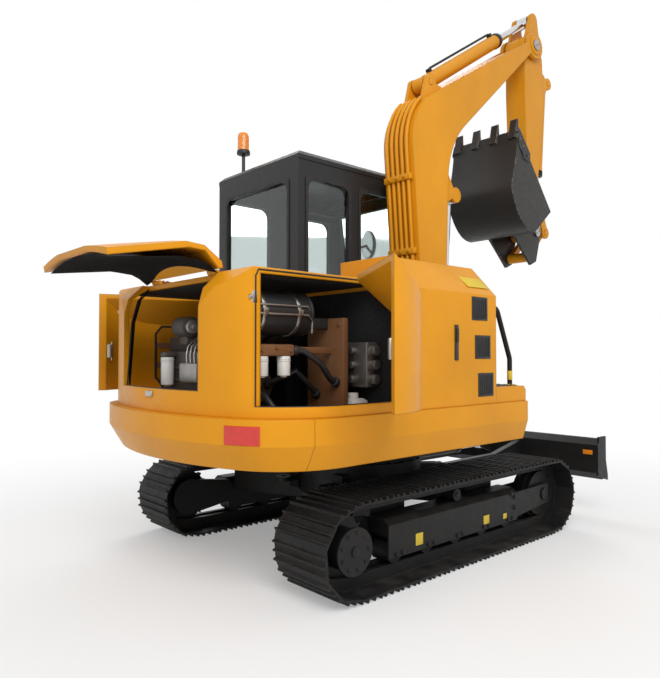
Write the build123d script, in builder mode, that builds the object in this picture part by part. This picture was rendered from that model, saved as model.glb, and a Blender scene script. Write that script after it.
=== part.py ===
"""Crawler excavator with a dozer blade, standing with its engine covers open.

Lengths are in millimetres. X points forward, Y to the left and Z up, and the pieces are laid out
from the swing axis on the ground. save() then moves each piece into the shared frame.
"""
import os
from math import cos, dist, pi, radians, sin

from build123d import *

os.makedirs("parts", exist_ok=True)

# Where the shared frame's origin lies from the swing axis
FRAME_X = 95
FRAME_Y = -191

# Running gear
TRACK_GAUGE = 1560
SHOE_WIDTH = 400
SHOE_COUNT = 39
SPROCKET_TEETH = 19
PITCH_RADIUS = 195
LINK_HALF_HEIGHT = 33
SHOE_THICKNESS = 9
GROUSER_HEIGHT = 15
RAIL_INNER = 27
RAIL_OUTER = 62
PITCH = 4 * pi * PITCH_RADIUS / SPROCKET_TEETH
LOOP_LENGTH = SHOE_COUNT * PITCH
TUMBLER_HALF = (LOOP_LENGTH - 2 * pi * PITCH_RADIUS) / 4
AXLE_Z = PITCH_RADIUS + LINK_HALF_HEIGHT + SHOE_THICKNESS + GROUSER_HEIGHT
FRAME_HALF = 95
FRAME_WALL = 12
FRAME_TOP = AXLE_Z + 88
FRAME_BOTTOM = AXLE_Z - 122
FRAME_REAR = 311 - TUMBLER_HALF
FRAME_FRONT = TUMBLER_HALF - 341
FIT = 0.3
ROLLER_RADIUS = 58
ROLLER_Z = AXLE_Z - PITCH_RADIUS + LINK_HALF_HEIGHT + ROLLER_RADIUS + FIT
ROLLER_COUNT = 5
ROLLER_STEP = (FRAME_FRONT - FRAME_REAR - 170) / (ROLLER_COUNT - 1)
CARRIER_RADIUS = 36
CARRIER_Z = AXLE_Z + PITCH_RADIUS - LINK_HALF_HEIGHT - CARRIER_RADIUS - FIT

# Tow eyes
TOW_EYE_X = -500
TOW_EYE_Y = 220
TOW_EYE_Z = 390
TOW_EYE_THICKNESS = 30

# Upper structure
DECK_BOTTOM = 690
DECK_TOP = 735
SKIRT_TOP = 925
SKIRT_BOTTOM = 676
SKIRT_INNER = 880
CREASE_Z = 800
RIM_REAR = 50
RIM_SIDE = 12
STEP_FRONT = 590
SIDE_Y = 960
REAR_X = -1590
BAY_FRONT = -555
BAY_TOP = 1646
SHOULDER_Z = 1460
SHOULDER_Y = 740
PANEL = 28
SEAM = 6
COUNTERWEIGHT_FRONT = -1225
DOOR_FRONT = -675
DOOR_EDGE_Y = 745
DOOR_BOTTOM = 980
HOOD_HALF = 430
HOOD_BOTTOM = 1045
HOOD_FRONT = -1385
DOOR_RIGHT_OPEN = 57
DOOR_LEFT_OPEN = 19
HOOD_OPEN = 79
BOX_FRONT = 249
BOX_TOP = 1780
BOX_INNER_Y = 400

# Cab
CAB_REAR = -550
CAB_FRONT = 800
CAB_RIGHT = 10
CAB_LEFT = 970
CAB_TOP = 2520
CAB_WALL = 40

# Boom, arm and bucket: pin centres in the machine's side view, (x, z)
BOOM_Y = -190
BOOM_HALF = 140
BOOM_FOOT = (440, 1080)
BOOM_TIP = (1836, 3926)
BOOM_BASE_PIN = (640, 880)
BOOM_ROD_PIN = (765, 2440)
ARM_BASE_PIN = (465, 3225)
ARM_ROD_PIN = (1890, 4190)
BUCKET_PIN = (1850, 2288)
BUCKET_BASE_PIN = (2152, 3694)
ROCKER_PIN = (1872, 2604)
LINK_TOP_PIN = (2018.27, 2308.19)
LINK_END_PIN = (1775.1, 2070.5)
ARM_HALF = 100
BUCKET_HALF = 310
TOOTH_ANGLE = 129
TOOTH_COUNT = 4

# Dozer blade
BLADE_PIVOT = (560, 385)
BLADE_BASE_PIN = (510, 470)
BLADE_ROD_PIN = (1440, 470)
BLADE_ARM_Y = 300
BLADE_HALF = 980


def save(piece, node):
    """Move a finished piece into the shared frame and write its file."""
    placed = Pos(-FRAME_X, -FRAME_Y, 0) * piece
    placed.label = node
    export_step(placed, f"parts/{node}.step")


def side_plane(y):
    """The side view's plane at a given Y: across it is X and up it is Z."""
    return Plane.XZ.offset(-y)


def across(point, y):
    """A place for a cylinder that lies across the machine."""
    return Location((point[0], y, point[1]), (90, 0, 0))


def along(start, end, y):
    """A plane at a cylinder's base pin that faces its rod pin."""
    return Plane(
        origin=(start[0], y, start[1]),
        x_dir=(0, 1, 0),
        z_dir=(end[0] - start[0], 0, end[1] - start[1]),
    )


def chain_point(distance):
    """A point on the chain's pitch line, from the sprocket's top and forward."""
    distance %= LOOP_LENGTH
    straight = 2 * TUMBLER_HALF
    arc = pi * PITCH_RADIUS
    if distance < straight:
        return distance - TUMBLER_HALF, AXLE_Z + PITCH_RADIUS
    distance -= straight
    if distance < arc:
        turn = distance / PITCH_RADIUS
        return TUMBLER_HALF + PITCH_RADIUS * sin(turn), AXLE_Z + PITCH_RADIUS * cos(turn)
    distance -= arc
    if distance < straight:
        return TUMBLER_HALF - distance, AXLE_Z - PITCH_RADIUS
    turn = (distance - straight) / PITCH_RADIUS
    return -TUMBLER_HALF - PITCH_RADIUS * sin(turn), AXLE_Z - PITCH_RADIUS * cos(turn)


def link_axes(index):
    """A link's first joint, its direction and its outward normal."""
    start = chain_point(index * PITCH)
    end = chain_point((index + 1) * PITCH)
    length = dist(start, end)
    direction = ((end[0] - start[0]) / length, (end[1] - start[1]) / length)
    return start, direction, (-direction[1], direction[0]), length


def chain_ring(height):
    """The loop's outline at a height outside the joints."""
    ring = []
    for index in range(SHOE_COUNT):
        start, _, normal, _ = link_axes(index)
        _, _, before, _ = link_axes(index - 1)
        bisector = (normal[0] + before[0], normal[1] + before[1])
        reach = height / (bisector[0] * normal[0] + bisector[1] * normal[1])
        ring.append((start[0] + bisector[0] * reach, start[1] + bisector[1] * reach))
    return ring


def shoe_ring():
    """The loop's outer outline, with three grousers on every shoe."""
    plate = LINK_HALF_HEIGHT + SHOE_THICKNESS
    outline = []
    for index in range(SHOE_COUNT):
        start, direction, normal, length = link_axes(index)
        for grouser in (0.04, 0.41, 0.78):
            for step, height in ((0, 0), (0.04, 1), (0.10, 1), (0.14, 0)):
                forward = (grouser + step) * length
                outward = plate + height * GROUSER_HEIGHT
                outline.append(
                    (
                        start[0] + direction[0] * forward + normal[0] * outward,
                        start[1] + direction[1] * forward + normal[1] * outward,
                    )
                )
    return outline


def tail_face(front, rear, half):
    """The face of the rounded tail's plan, to add to a sketch."""
    with BuildSketch() as plan:
        with BuildLine():
            right = TangentArc((rear + 542, -half), (rear + 115, 300 - half), tangent=(-1, 0))
            left = TangentArc((rear + 542, half), (rear + 115, half - 300), tangent=(-1, 0))
            ThreePointArc(right @ 1, (rear, 0), left @ 1)
            Polyline(right @ 0, (front, -half), (front, half), left @ 0)
        make_face()
    return plan.sketch


# Running gear: one fixed loop, sprocket, idler, rollers and frame on each side
for side, hand in ((1, "left"), (-1, "right")):
    track_y = side * TRACK_GAUGE / 2

    with BuildPart() as track:
        with BuildSketch(side_plane(track_y)):
            Polygon(*shoe_ring(), align=None)
            Polygon(*chain_ring(LINK_HALF_HEIGHT), align=None, mode=Mode.SUBTRACT)
        extrude(amount=SHOE_WIDTH / 2, both=True)
        for rail_y in (-(RAIL_INNER + RAIL_OUTER) / 2, (RAIL_INNER + RAIL_OUTER) / 2):
            with BuildSketch(side_plane(track_y + rail_y)):
                Polygon(*chain_ring(LINK_HALF_HEIGHT + 1), align=None)
                Polygon(*chain_ring(-LINK_HALF_HEIGHT), align=None, mode=Mode.SUBTRACT)
            extrude(amount=(RAIL_OUTER - RAIL_INNER) / 2, both=True)
    save(track.part, f"track_{hand}")

    with BuildPart() as sprocket:
        with BuildSketch(side_plane(track_y)):
            with Locations((-TUMBLER_HALF, AXLE_Z)):
                Circle(PITCH_RADIUS - 25)
                for tooth in range(SPROCKET_TEETH):
                    with Locations(Rot(0, 0, 360 * (tooth + 0.5) / SPROCKET_TEETH)):
                        with Locations((PITCH_RADIUS - 22, 0)):
                            Trapezoid(24, 30, 75, rotation=-90)
        extrude(amount=20, both=True)
        with Locations(across((-TUMBLER_HALF, AXLE_Z), track_y + side * 39)):
            Cylinder(105, 212)
        with Locations(across((-TUMBLER_HALF, AXLE_Z), track_y + side * 152.5)):
            Cylinder(120, 15)
    save(sprocket.part, f"sprocket_{hand}")

    with BuildPart() as idler:
        with Locations(across((TUMBLER_HALF, AXLE_Z), track_y)):
            Cylinder(PITCH_RADIUS * cos(PITCH / PITCH_RADIUS / 2) - LINK_HALF_HEIGHT - 0.4, 2 * RAIL_OUTER)
            Cylinder(PITCH_RADIUS - 30, 2 * RAIL_INNER - 6)
            Cylinder(30, 2 * FRAME_HALF - 2 * FRAME_WALL)
    save(idler.part, f"idler_{hand}")

    with BuildPart() as rollers:
        for roller in range(ROLLER_COUNT):
            with Locations(across((FRAME_REAR + 80 + roller * ROLLER_STEP, ROLLER_Z), track_y)):
                Cylinder(ROLLER_RADIUS, 2 * RAIL_OUTER + 4)
                Cylinder(20, 2 * FRAME_HALF - 2 * FRAME_WALL)
        with Locations(across((0, CARRIER_Z), track_y)):
            Cylinder(CARRIER_RADIUS, 2 * RAIL_OUTER + 4)
            Cylinder(16, 2 * 70)
    save(rollers.part, f"rollers_{hand}")

    with BuildPart() as track_frame:
        with BuildSketch(Plane.YZ.offset(FRAME_REAR)):
            with Locations((track_y, 0)):
                Polygon(
                    (-FRAME_HALF, FRAME_BOTTOM), (FRAME_HALF, FRAME_BOTTOM), (FRAME_HALF, FRAME_TOP - 30),
                    (FRAME_HALF - 40, FRAME_TOP), (-FRAME_HALF + 40, FRAME_TOP), (-FRAME_HALF, FRAME_TOP - 30),
                    align=None,
                )
                with Locations((0, FRAME_BOTTOM + 60)):
                    Rectangle(2 * (FRAME_HALF - FRAME_WALL), 130, mode=Mode.SUBTRACT)
        extrude(amount=FRAME_FRONT - FRAME_REAR)
        for plate_y in (-FRAME_HALF + FRAME_WALL / 2, FRAME_HALF - FRAME_WALL / 2):
            with BuildSketch(side_plane(track_y + plate_y)):
                Polygon(
                    (FRAME_FRONT - 10, AXLE_Z - 102), (TUMBLER_HALF + 60, AXLE_Z - 67),
                    (TUMBLER_HALF + 60, AXLE_Z + 68), (FRAME_FRONT - 10, AXLE_Z + 58), align=None,
                )
            extrude(amount=FRAME_WALL / 2, both=True)
        with BuildSketch(side_plane(track_y - side * (FRAME_HALF - 14))):
            Polygon(
                (FRAME_REAR + 10, AXLE_Z - 72), (FRAME_REAR + 10, AXLE_Z + 78), (-TUMBLER_HALF, AXLE_Z + 120),
                (-TUMBLER_HALF, AXLE_Z - 120), align=None,
            )
            with Locations((-TUMBLER_HALF, AXLE_Z)):
                Circle(120)
        extrude(amount=14, both=True)
        with Locations((0, track_y - side * 76, (FRAME_TOP - 20 + CARRIER_Z + 30) / 2)):
            Box(60, 12, CARRIER_Z - FRAME_TOP + 50)
    save(track_frame.part, f"track_frame_{hand}")

# Lower frame with its legs, the blade's lugs and the swing bearing's seat
with BuildPart() as lower_frame:
    with Locations((0, 0, 410)):
        Cylinder(430, 220)
    with Locations((0, 0, 540)):
        Cylinder(400, 40)
    with BuildSketch(Plane.XY.offset(250)):
        for ahead in (1, -1):
            for side in (1, -1):
                inner = TRACK_GAUGE / 2 - FRAME_HALF
                Polygon(
                    (ahead * 100, side * 320), (ahead * 340, side * 120),
                    (ahead * 590, side * inner), (ahead * 300, side * inner), align=None,
                )
    extrude(amount=170)
    for side in (1, -1):
        for lug_y in (side * BLADE_ARM_Y - 42, side * BLADE_ARM_Y + 42):
            with BuildSketch(side_plane(lug_y)):
                Polygon((240, 300), (240, 480), (520, 450), BLADE_PIVOT, (520, 320), align=None)
                with Locations(BLADE_PIVOT):
                    Circle(60)
                    Circle(25.3, mode=Mode.SUBTRACT)
            extrude(amount=10, both=True)
    for pad_y in (-TOW_EYE_Y, TOW_EYE_Y):
        with Locations((-375, pad_y, TOW_EYE_Z)):
            Box(80, 90, 140)
    for lug_y in (-60, 60):
        with BuildSketch(side_plane(lug_y)):
            Polygon((300, 400), (300, 520), BLADE_BASE_PIN, (480, 400), align=None)
            with Locations(BLADE_BASE_PIN):
                Circle(42)
                Circle(20.3, mode=Mode.SUBTRACT)
        extrude(amount=10, both=True)
save(lower_frame.part, "lower_frame")

with BuildPart() as swing_bearing:
    with BuildSketch(Plane.XY.offset(560)):
        Circle(395)
        Circle(300, mode=Mode.SUBTRACT)
    extrude(amount=DECK_BOTTOM - 25.5 - 560)
save(swing_bearing.part, "swing_bearing")

# Dozer blade: two push arms, a curved mouldboard, end plates and the cylinder's ears
with BuildPart() as blade:
    with BuildSketch(Plane.XZ):
        with BuildLine():
            ThreePointArc((1645, 278), (1610, 430), (1645, 585))
            Polyline((1645, 585), (1610, 585), (1560, 540), (1560, 330), (1615, 278), (1645, 278))
        make_face()
    extrude(amount=BLADE_HALF, both=True)
    for side in (1, -1):
        with BuildSketch(side_plane(side * (BLADE_HALF - 8))):
            Polygon((1560, 310), (1720, 262), (1720, 300), (1690, 420), (1690, 600), (1580, 600), align=None)
        extrude(amount=8, both=True)
        with BuildSketch(side_plane(side * BLADE_ARM_Y)):
            Polygon(
                (BLADE_PIVOT[0], BLADE_PIVOT[1] - 50), (1200, 330), (1580, 330), (1580, 520),
                (1200, 440), (BLADE_PIVOT[0], BLADE_PIVOT[1] + 50), align=None,
            )
            with Locations(BLADE_PIVOT):
                Circle(55)
        extrude(amount=25, both=True)
        with Locations(across(BLADE_PIVOT, side * BLADE_ARM_Y)):
            Cylinder(25, 116)
        with BuildSketch(side_plane(side * 50)):
            Polygon((1570, 380), (1570, 540), (1450, 515), BLADE_ROD_PIN, (1450, 425), align=None)
            with Locations(BLADE_ROD_PIN):
                Circle(42)
        extrude(amount=10, both=True)
save(blade.part, "blade")

# Upper structure: deck, skirts, counterweight and the hollow engine cover
with BuildPart() as platform:
    with BuildSketch(Plane.XY.offset(DECK_BOTTOM)):
        Polygon(
            (COUNTERWEIGHT_FRONT, -SKIRT_INNER), (STEP_FRONT, -SKIRT_INNER), (640, -400), (760, 0), (CAB_FRONT, 100),
            (CAB_FRONT, 925), (BAY_FRONT, 925), (BAY_FRONT, SKIRT_INNER), (COUNTERWEIGHT_FRONT, SKIRT_INNER),
            align=None,
        )
    extrude(amount=DECK_TOP - DECK_BOTTOM)
    with Locations((0, 0, DECK_BOTTOM - 12.5)):
        Cylinder(395, 25)
    for side in (1, -1):
        with BuildSketch(side_plane(BOOM_Y + side * (BOOM_HALF + 20))):
            Polygon(
                (140, DECK_TOP), (345, 1110), BOOM_FOOT, (540, 1110), (690, 920), BOOM_BASE_PIN, (690, DECK_TOP),
                align=None,
            )
            with Locations(BOOM_FOOT):
                Circle(105)
                Circle(35.3, mode=Mode.SUBTRACT)
        extrude(amount=13, both=True)
        with BuildSketch(side_plane(BOOM_Y + side * 82)):
            Polygon((530, DECK_TOP), (585, 890), BOOM_BASE_PIN, (695, 890), (690, DECK_TOP), align=None)
            with Locations(BOOM_BASE_PIN):
                Circle(60)
                Circle(25.3, mode=Mode.SUBTRACT)
        extrude(amount=13, both=True)
save(platform.part, "platform")

with BuildPart() as band:
    with BuildSketch(Plane.XY.offset(SKIRT_BOTTOM)):
        add(tail_face(STEP_FRONT, REAR_X + 15, SIDE_Y - 25))
    with BuildSketch(Plane.XY.offset(CREASE_Z)):
        add(tail_face(STEP_FRONT, REAR_X - RIM_REAR, SIDE_Y + RIM_SIDE))
    loft()
    with BuildSketch(Plane.XY.offset(CREASE_Z)):
        add(tail_face(STEP_FRONT, REAR_X - RIM_REAR, SIDE_Y + RIM_SIDE))
    extrude(amount=SKIRT_TOP - CREASE_Z)

with BuildPart() as counterweight:
    add(band.part)
    with Locations((COUNTERWEIGHT_FRONT - 500, 0, SKIRT_TOP)):
        Box(1000, 3 * SIDE_Y, 600, mode=Mode.INTERSECT)
save(counterweight.part, "counterweight")

for side, hand, skirt_front in ((1, "left", BAY_FRONT), (-1, "right", STEP_FRONT)):
    with BuildPart() as skirt:
        add(band.part)
        length = skirt_front - COUNTERWEIGHT_FRONT
        with Locations((COUNTERWEIGHT_FRONT + length / 2, side * (SKIRT_INNER + 100), SKIRT_TOP)):
            Box(length, 200, 600, mode=Mode.INTERSECT)
    save(skirt.part, f"skirt_{hand}")

loaves = []
for inset in (0, PANEL):
    plan = tail_face(BAY_FRONT - inset, REAR_X + inset, SIDE_Y - inset)
    with BuildPart() as loaf:
        with BuildSketch(Plane.XY.offset(SKIRT_TOP)):
            add(plan)
        extrude(amount=BAY_TOP - inset - SKIRT_TOP)
        with BuildSketch(Plane.YZ.offset(REAR_X)):
            half = SIDE_Y - inset
            Polygon(
                (-half, 900), (half, 900), (half, SHOULDER_Z - inset / 2), (SHOULDER_Y, BAY_TOP - inset),
                (-SHOULDER_Y, BAY_TOP - inset), (-half, SHOULDER_Z - inset / 2), align=None,
            )
        extrude(amount=BAY_FRONT - REAR_X, mode=Mode.INTERSECT)
        with BuildSketch(Plane.XZ):
            Polygon(
                (BAY_FRONT, 900), (REAR_X + inset, 900), (REAR_X + inset, SKIRT_TOP), (REAR_X + 35 + inset, 1420),
                (REAR_X + 75 + inset, 1560), (REAR_X + 165 + inset, BAY_TOP - inset), (BAY_FRONT, BAY_TOP - inset),
                align=None,
            )
        extrude(amount=SIDE_Y + 10, both=True, mode=Mode.INTERSECT)
    loaves.append(loaf.part)
shell = loaves[0] - loaves[1]

HINGE_Y = SIDE_Y + 14
HINGE_X = DOOR_FRONT + 7
HINGE_ZS = (1110, 1330)
HOOD_HINGE = (HOOD_FRONT + 8, BAY_TOP + 14)
HOOD_HINGE_YS = (-320, 320)
KNUCKLE = 40

with BuildPart() as engine_cover:
    add(shell)
    for side in (1, -1):
        with Locations((DOOR_FRONT - 600, side * (DOOR_EDGE_Y + 200), DOOR_BOTTOM + 400)):
            Box(1200, 400, 800, mode=Mode.SUBTRACT)
        for hinge_z in HINGE_ZS:
            with Locations((HINGE_X, side * HINGE_Y, hinge_z)):
                Cylinder(13, KNUCKLE)
            with Locations((HINGE_X + 35, side * (SIDE_Y + 5), hinge_z)):
                Box(70, 10, KNUCKLE)
    with Locations((HOOD_FRONT - 300, 0, HOOD_BOTTOM + 400)):
        Box(600, 2 * HOOD_HALF, 800, mode=Mode.SUBTRACT)
    for hinge_y in HOOD_HINGE_YS:
        with Locations(across(HOOD_HINGE, hinge_y)):
            Cylinder(13, KNUCKLE)
        with Locations((HOOD_HINGE[0] + 35, hinge_y, BAY_TOP + 5)):
            Box(70, KNUCKLE, 10)
save(engine_cover.part, "engine_cover")

for side, hand, opened in ((1, "left", DOOR_LEFT_OPEN), (-1, "right", DOOR_RIGHT_OPEN)):
    with BuildPart() as door:
        add(shell)
        with Locations((DOOR_FRONT - SEAM - 600, side * (DOOR_EDGE_Y + SEAM + 200), DOOR_BOTTOM + SEAM + 400)):
            Box(1200, 400, 800, mode=Mode.INTERSECT)
        for hinge_z in HINGE_ZS:
            with Locations((HINGE_X, side * HINGE_Y, hinge_z + KNUCKLE + 0.3)):
                Cylinder(13, KNUCKLE)
            with Locations((HINGE_X - 45, side * (SIDE_Y + 5), hinge_z + KNUCKLE + 0.3)):
                Box(90, 10, KNUCKLE)
    hinge = Axis((HINGE_X, side * HINGE_Y, 0), (0, 0, -side))
    save(door.part.rotate(hinge, opened), f"door_{hand}")

with BuildPart() as hood:
    add(shell)
    with Locations((HOOD_FRONT - SEAM - 300, 0, HOOD_BOTTOM + SEAM + 400)):
        Box(600, 2 * (HOOD_HALF - SEAM), 800, mode=Mode.INTERSECT)
    for hinge_y in HOOD_HINGE_YS:
        with Locations(across(HOOD_HINGE, hinge_y + KNUCKLE + 0.3)):
            Cylinder(13, KNUCKLE)
        with Locations((HOOD_HINGE[0] - 45, hinge_y + KNUCKLE + 0.3, BAY_TOP + 5)):
            Box(90, KNUCKLE, 10)
hood_hinge = Axis((HOOD_HINGE[0], 0, HOOD_HINGE[1]), (0, 1, 0))
save(hood.part.rotate(hood_hinge, HOOD_OPEN), "hood")

# Right-hand box ahead of the engine, with the step and handrail in front of it
with BuildPart() as right_box:
    for inset in (0, PANEL):
        with BuildSketch(Plane.YZ.offset(BAY_FRONT + 5 + inset)):
            Polygon(
                (-BOX_INNER_Y - inset, DECK_TOP), (-BOX_INNER_Y - inset, BOX_TOP - inset),
                (-780, BOX_TOP - inset), (-SIDE_Y + inset, 1590 - inset / 2), (-SIDE_Y + inset, SKIRT_TOP),
                (-SKIRT_INNER + inset, SKIRT_TOP), (-SKIRT_INNER + inset, DECK_TOP), align=None,
            )
        extrude(amount=BOX_FRONT - BAY_FRONT - 5 - 2 * inset, mode=Mode.SUBTRACT if inset else Mode.ADD)
save(right_box.part, "right_box")

with BuildPart() as step_box:
    with BuildSketch(Plane.XZ):
        Polygon(
            (BOX_FRONT, SKIRT_TOP), (BOX_FRONT, 1024), (560, 1024), (585, 1000), (585, SKIRT_TOP), align=None,
        )
    extrude(amount=SIDE_Y)
    with Locations((400, -210, 900)):
        Box(500, 420, 400, mode=Mode.SUBTRACT)
    with Locations(((BOX_FRONT + 585) / 2, -230 - SKIRT_INNER / 2, (DECK_TOP + SKIRT_TOP) / 2)):
        Box(585 - BOX_FRONT, SKIRT_INNER - 460, SKIRT_TOP - DECK_TOP)
save(step_box.part, "step_box")

with BuildPart() as handrail:
    with BuildLine():
        rail = FilletPolyline(
            (BOX_FRONT, -870, 1530), (390, -870, 1530), (540, -870, 1200), (540, -870, 1024), radius=60,
        )
    with BuildSketch(Plane(origin=rail @ 0, z_dir=rail % 0)):
        Circle(16)
    sweep()
save(handrail.part, "handrail")

# Engine bay contents
with BuildPart() as engine:
    with Locations((-1150, 60, 1145)):
        Box(560, 620, 400)
    with Locations((-1150, 60, 1375)):
        Box(500, 330, 60)
    with Locations((-1050, 60, 840)):
        Box(300, 400, 210)
save(engine.part, "engine")

with BuildPart() as radiator:
    with Locations((-740, 260, (DECK_TOP + 1500) / 2)):
        Box(120, 900, 1500 - DECK_TOP)
save(radiator.part, "radiator")

with BuildPart() as filters:
    with Locations((-800, -560, 1080)):
        Box(40, 300, 690)
    with Locations((-1080, -620, 1130)):
        Box(200, 60, 60)
    with Locations((-900, -620, 1130)):
        Box(160, 30, 30)
    for filter_x in (-1130, -1040):
        with Locations((filter_x, -620, 1040)):
            Cylinder(40, 120)
save(filters.part, "fuel_filters")

with BuildPart() as air_cleaner:
    with Locations(Location((-1120, -560, 1480), (0, 90, 0))):
        Cylinder(110, 420)
    with Locations((-870, -560, 1395)):
        Box(100, 60, 60)
save(air_cleaner.part, "air_cleaner")

# Cab: frame with cut windows, roof, door, glass and seat
CAB_OUTLINE = (
    (CAB_REAR, DECK_TOP), (CAB_REAR, CAB_TOP), (640, CAB_TOP), (CAB_FRONT, 1450), (CAB_FRONT, 900), (740, DECK_TOP),
)
CAB_MIDDLE = (CAB_LEFT + CAB_RIGHT) / 2
CAB_WIDTH = CAB_LEFT - CAB_RIGHT
DOOR_BACK = 70
DOOR_AHEAD = 620
CAB_DOOR_BOTTOM = 800
CAB_DOOR_TOP = 2440
SIDE_WINDOWS = ((-470, -90, 1560, 2400), (20, 600, 1200, 2400))

with BuildPart() as cab:
    with BuildSketch(side_plane(CAB_MIDDLE)):
        Polygon(*CAB_OUTLINE, align=None)
    extrude(amount=CAB_WIDTH / 2, both=True)
    with BuildSketch(side_plane(CAB_MIDDLE)):
        Polygon(*CAB_OUTLINE, align=None)
        offset(amount=-CAB_WALL, kind=Kind.INTERSECTION, mode=Mode.REPLACE)
    extrude(amount=CAB_WIDTH / 2 - CAB_WALL, both=True, mode=Mode.SUBTRACT)
    with Locations((0, CAB_MIDDLE, CAB_TOP)):
        Box(1000, CAB_WIDTH - 2 * CAB_WALL, 200, mode=Mode.SUBTRACT)
    for back, ahead, low, high in SIDE_WINDOWS:
        with Locations(((back + ahead) / 2, CAB_RIGHT, (low + high) / 2)):
            Box(ahead - back, 3 * CAB_WALL, high - low, mode=Mode.SUBTRACT)
    back, ahead, low, high = SIDE_WINDOWS[0]
    with Locations(((back + ahead) / 2, CAB_LEFT, (low + high) / 2)):
        Box(ahead - back, 3 * CAB_WALL, high - low, mode=Mode.SUBTRACT)
    with Locations(((DOOR_BACK + DOOR_AHEAD) / 2, CAB_LEFT, (CAB_DOOR_BOTTOM + CAB_DOOR_TOP) / 2)):
        Box(DOOR_AHEAD - DOOR_BACK, 3 * CAB_WALL, CAB_DOOR_TOP - CAB_DOOR_BOTTOM, mode=Mode.SUBTRACT)
    with Locations((CAB_REAR, CAB_MIDDLE, 2050)):
        Box(3 * CAB_WALL, CAB_WIDTH - 220, 680, mode=Mode.SUBTRACT)
    with Locations((CAB_FRONT, CAB_MIDDLE, 1800)):
        Box(500, CAB_WIDTH - 180, 1240, mode=Mode.SUBTRACT)
    for hinge_z in (1000, 1900):
        with Locations((DOOR_BACK - 4, CAB_LEFT + 14, hinge_z)):
            Cylinder(13, KNUCKLE)
        with Locations((DOOR_BACK - 35, CAB_LEFT + 5, hinge_z)):
            Box(62, 10, KNUCKLE)
save(cab.part, "cab_frame")

with BuildPart() as cab_door:
    width = DOOR_AHEAD - DOOR_BACK - 2 * SEAM
    height = CAB_DOOR_TOP - CAB_DOOR_BOTTOM - 2 * SEAM
    with Locations(
        ((DOOR_BACK + DOOR_AHEAD) / 2, CAB_LEFT - CAB_WALL / 2, (CAB_DOOR_BOTTOM + CAB_DOOR_TOP) / 2)
    ):
        Box(width, CAB_WALL, height)
        with Locations((0, 0, 240)):
            Box(width - 120, 2 * CAB_WALL, height - 600, mode=Mode.SUBTRACT)
    for hinge_z in (1000, 1900):
        with Locations((DOOR_BACK - 4, CAB_LEFT + 14, hinge_z + KNUCKLE + 0.3)):
            Cylinder(13, KNUCKLE)
        with Locations((DOOR_BACK + 24, CAB_LEFT + 5, hinge_z + KNUCKLE + 0.3)):
            Box(56, 10, KNUCKLE)
save(cab_door.part, "cab_door")

with BuildPart() as door_glass:
    with Locations(
        ((DOOR_BACK + DOOR_AHEAD) / 2, CAB_LEFT - CAB_WALL / 2, (CAB_DOOR_BOTTOM + CAB_DOOR_TOP) / 2 + 240)
    ):
        Box(width - 120, 6, height - 600)
save(door_glass.part, "cab_door_glass")

with BuildPart() as cab_glass:
    for back, ahead, low, high in SIDE_WINDOWS:
        with Locations(((back + ahead) / 2, CAB_RIGHT + CAB_WALL / 2, (low + high) / 2)):
            Box(ahead - back, 6, high - low)
    back, ahead, low, high = SIDE_WINDOWS[0]
    with Locations(((back + ahead) / 2, CAB_LEFT - CAB_WALL / 2, (low + high) / 2)):
        Box(ahead - back, 6, high - low)
    with Locations((CAB_REAR + CAB_WALL / 2, CAB_MIDDLE, 2050)):
        Box(6, CAB_WIDTH - 220, 680)
    with BuildSketch(side_plane(CAB_MIDDLE)):
        Polygon((780, 1180), (786, 1180), (786, 1450), (654, 2420), (648, 2420), (780, 1450), align=None)
    extrude(amount=(CAB_WIDTH - 180) / 2, both=True)
save(cab_glass.part, "cab_glass")

with BuildPart() as cab_roof:
    with Locations(((CAB_REAR + 660) / 2, CAB_MIDDLE, CAB_TOP + 30)):
        Box(660 - CAB_REAR, CAB_WIDTH + 10, 60)
    chamfer(cab_roof.faces().sort_by(Axis.Z)[-1].edges(), 30)
save(cab_roof.part, "cab_roof")

with BuildPart() as beacon:
    with Locations((CAB_REAR + 60, CAB_LEFT - 110, CAB_TOP + 110)):
        Cylinder(14, 100)
    with Locations((CAB_REAR + 60, CAB_LEFT - 110, CAB_TOP + 180)):
        Cylinder(55, 40)
    with Locations((CAB_REAR + 60, CAB_LEFT - 110, CAB_TOP + 250)):
        Cylinder(48, 100)
save(beacon.part, "beacon")

with BuildPart() as seat:
    with Locations((-100, CAB_MIDDLE, 950)):
        Box(360, 340, 350)
    with Locations((-100, CAB_MIDDLE, 1180)):
        Box(500, 480, 110)
    with BuildSketch(side_plane(CAB_MIDDLE)):
        Polygon((-350, 1180), (-230, 1180), (-300, 1800), (-390, 1800), align=None)
    extrude(amount=240, both=True)
save(seat.part, "seat")

with BuildPart() as console:
    for side in (1, -1):
        with Locations((60, CAB_MIDDLE + side * 320, 1015)):
            Box(420, 100, 480)
        with Locations((200, CAB_MIDDLE + side * 320, 1330)):
            Cylinder(16, 150)
save(console.part, "console")

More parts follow.
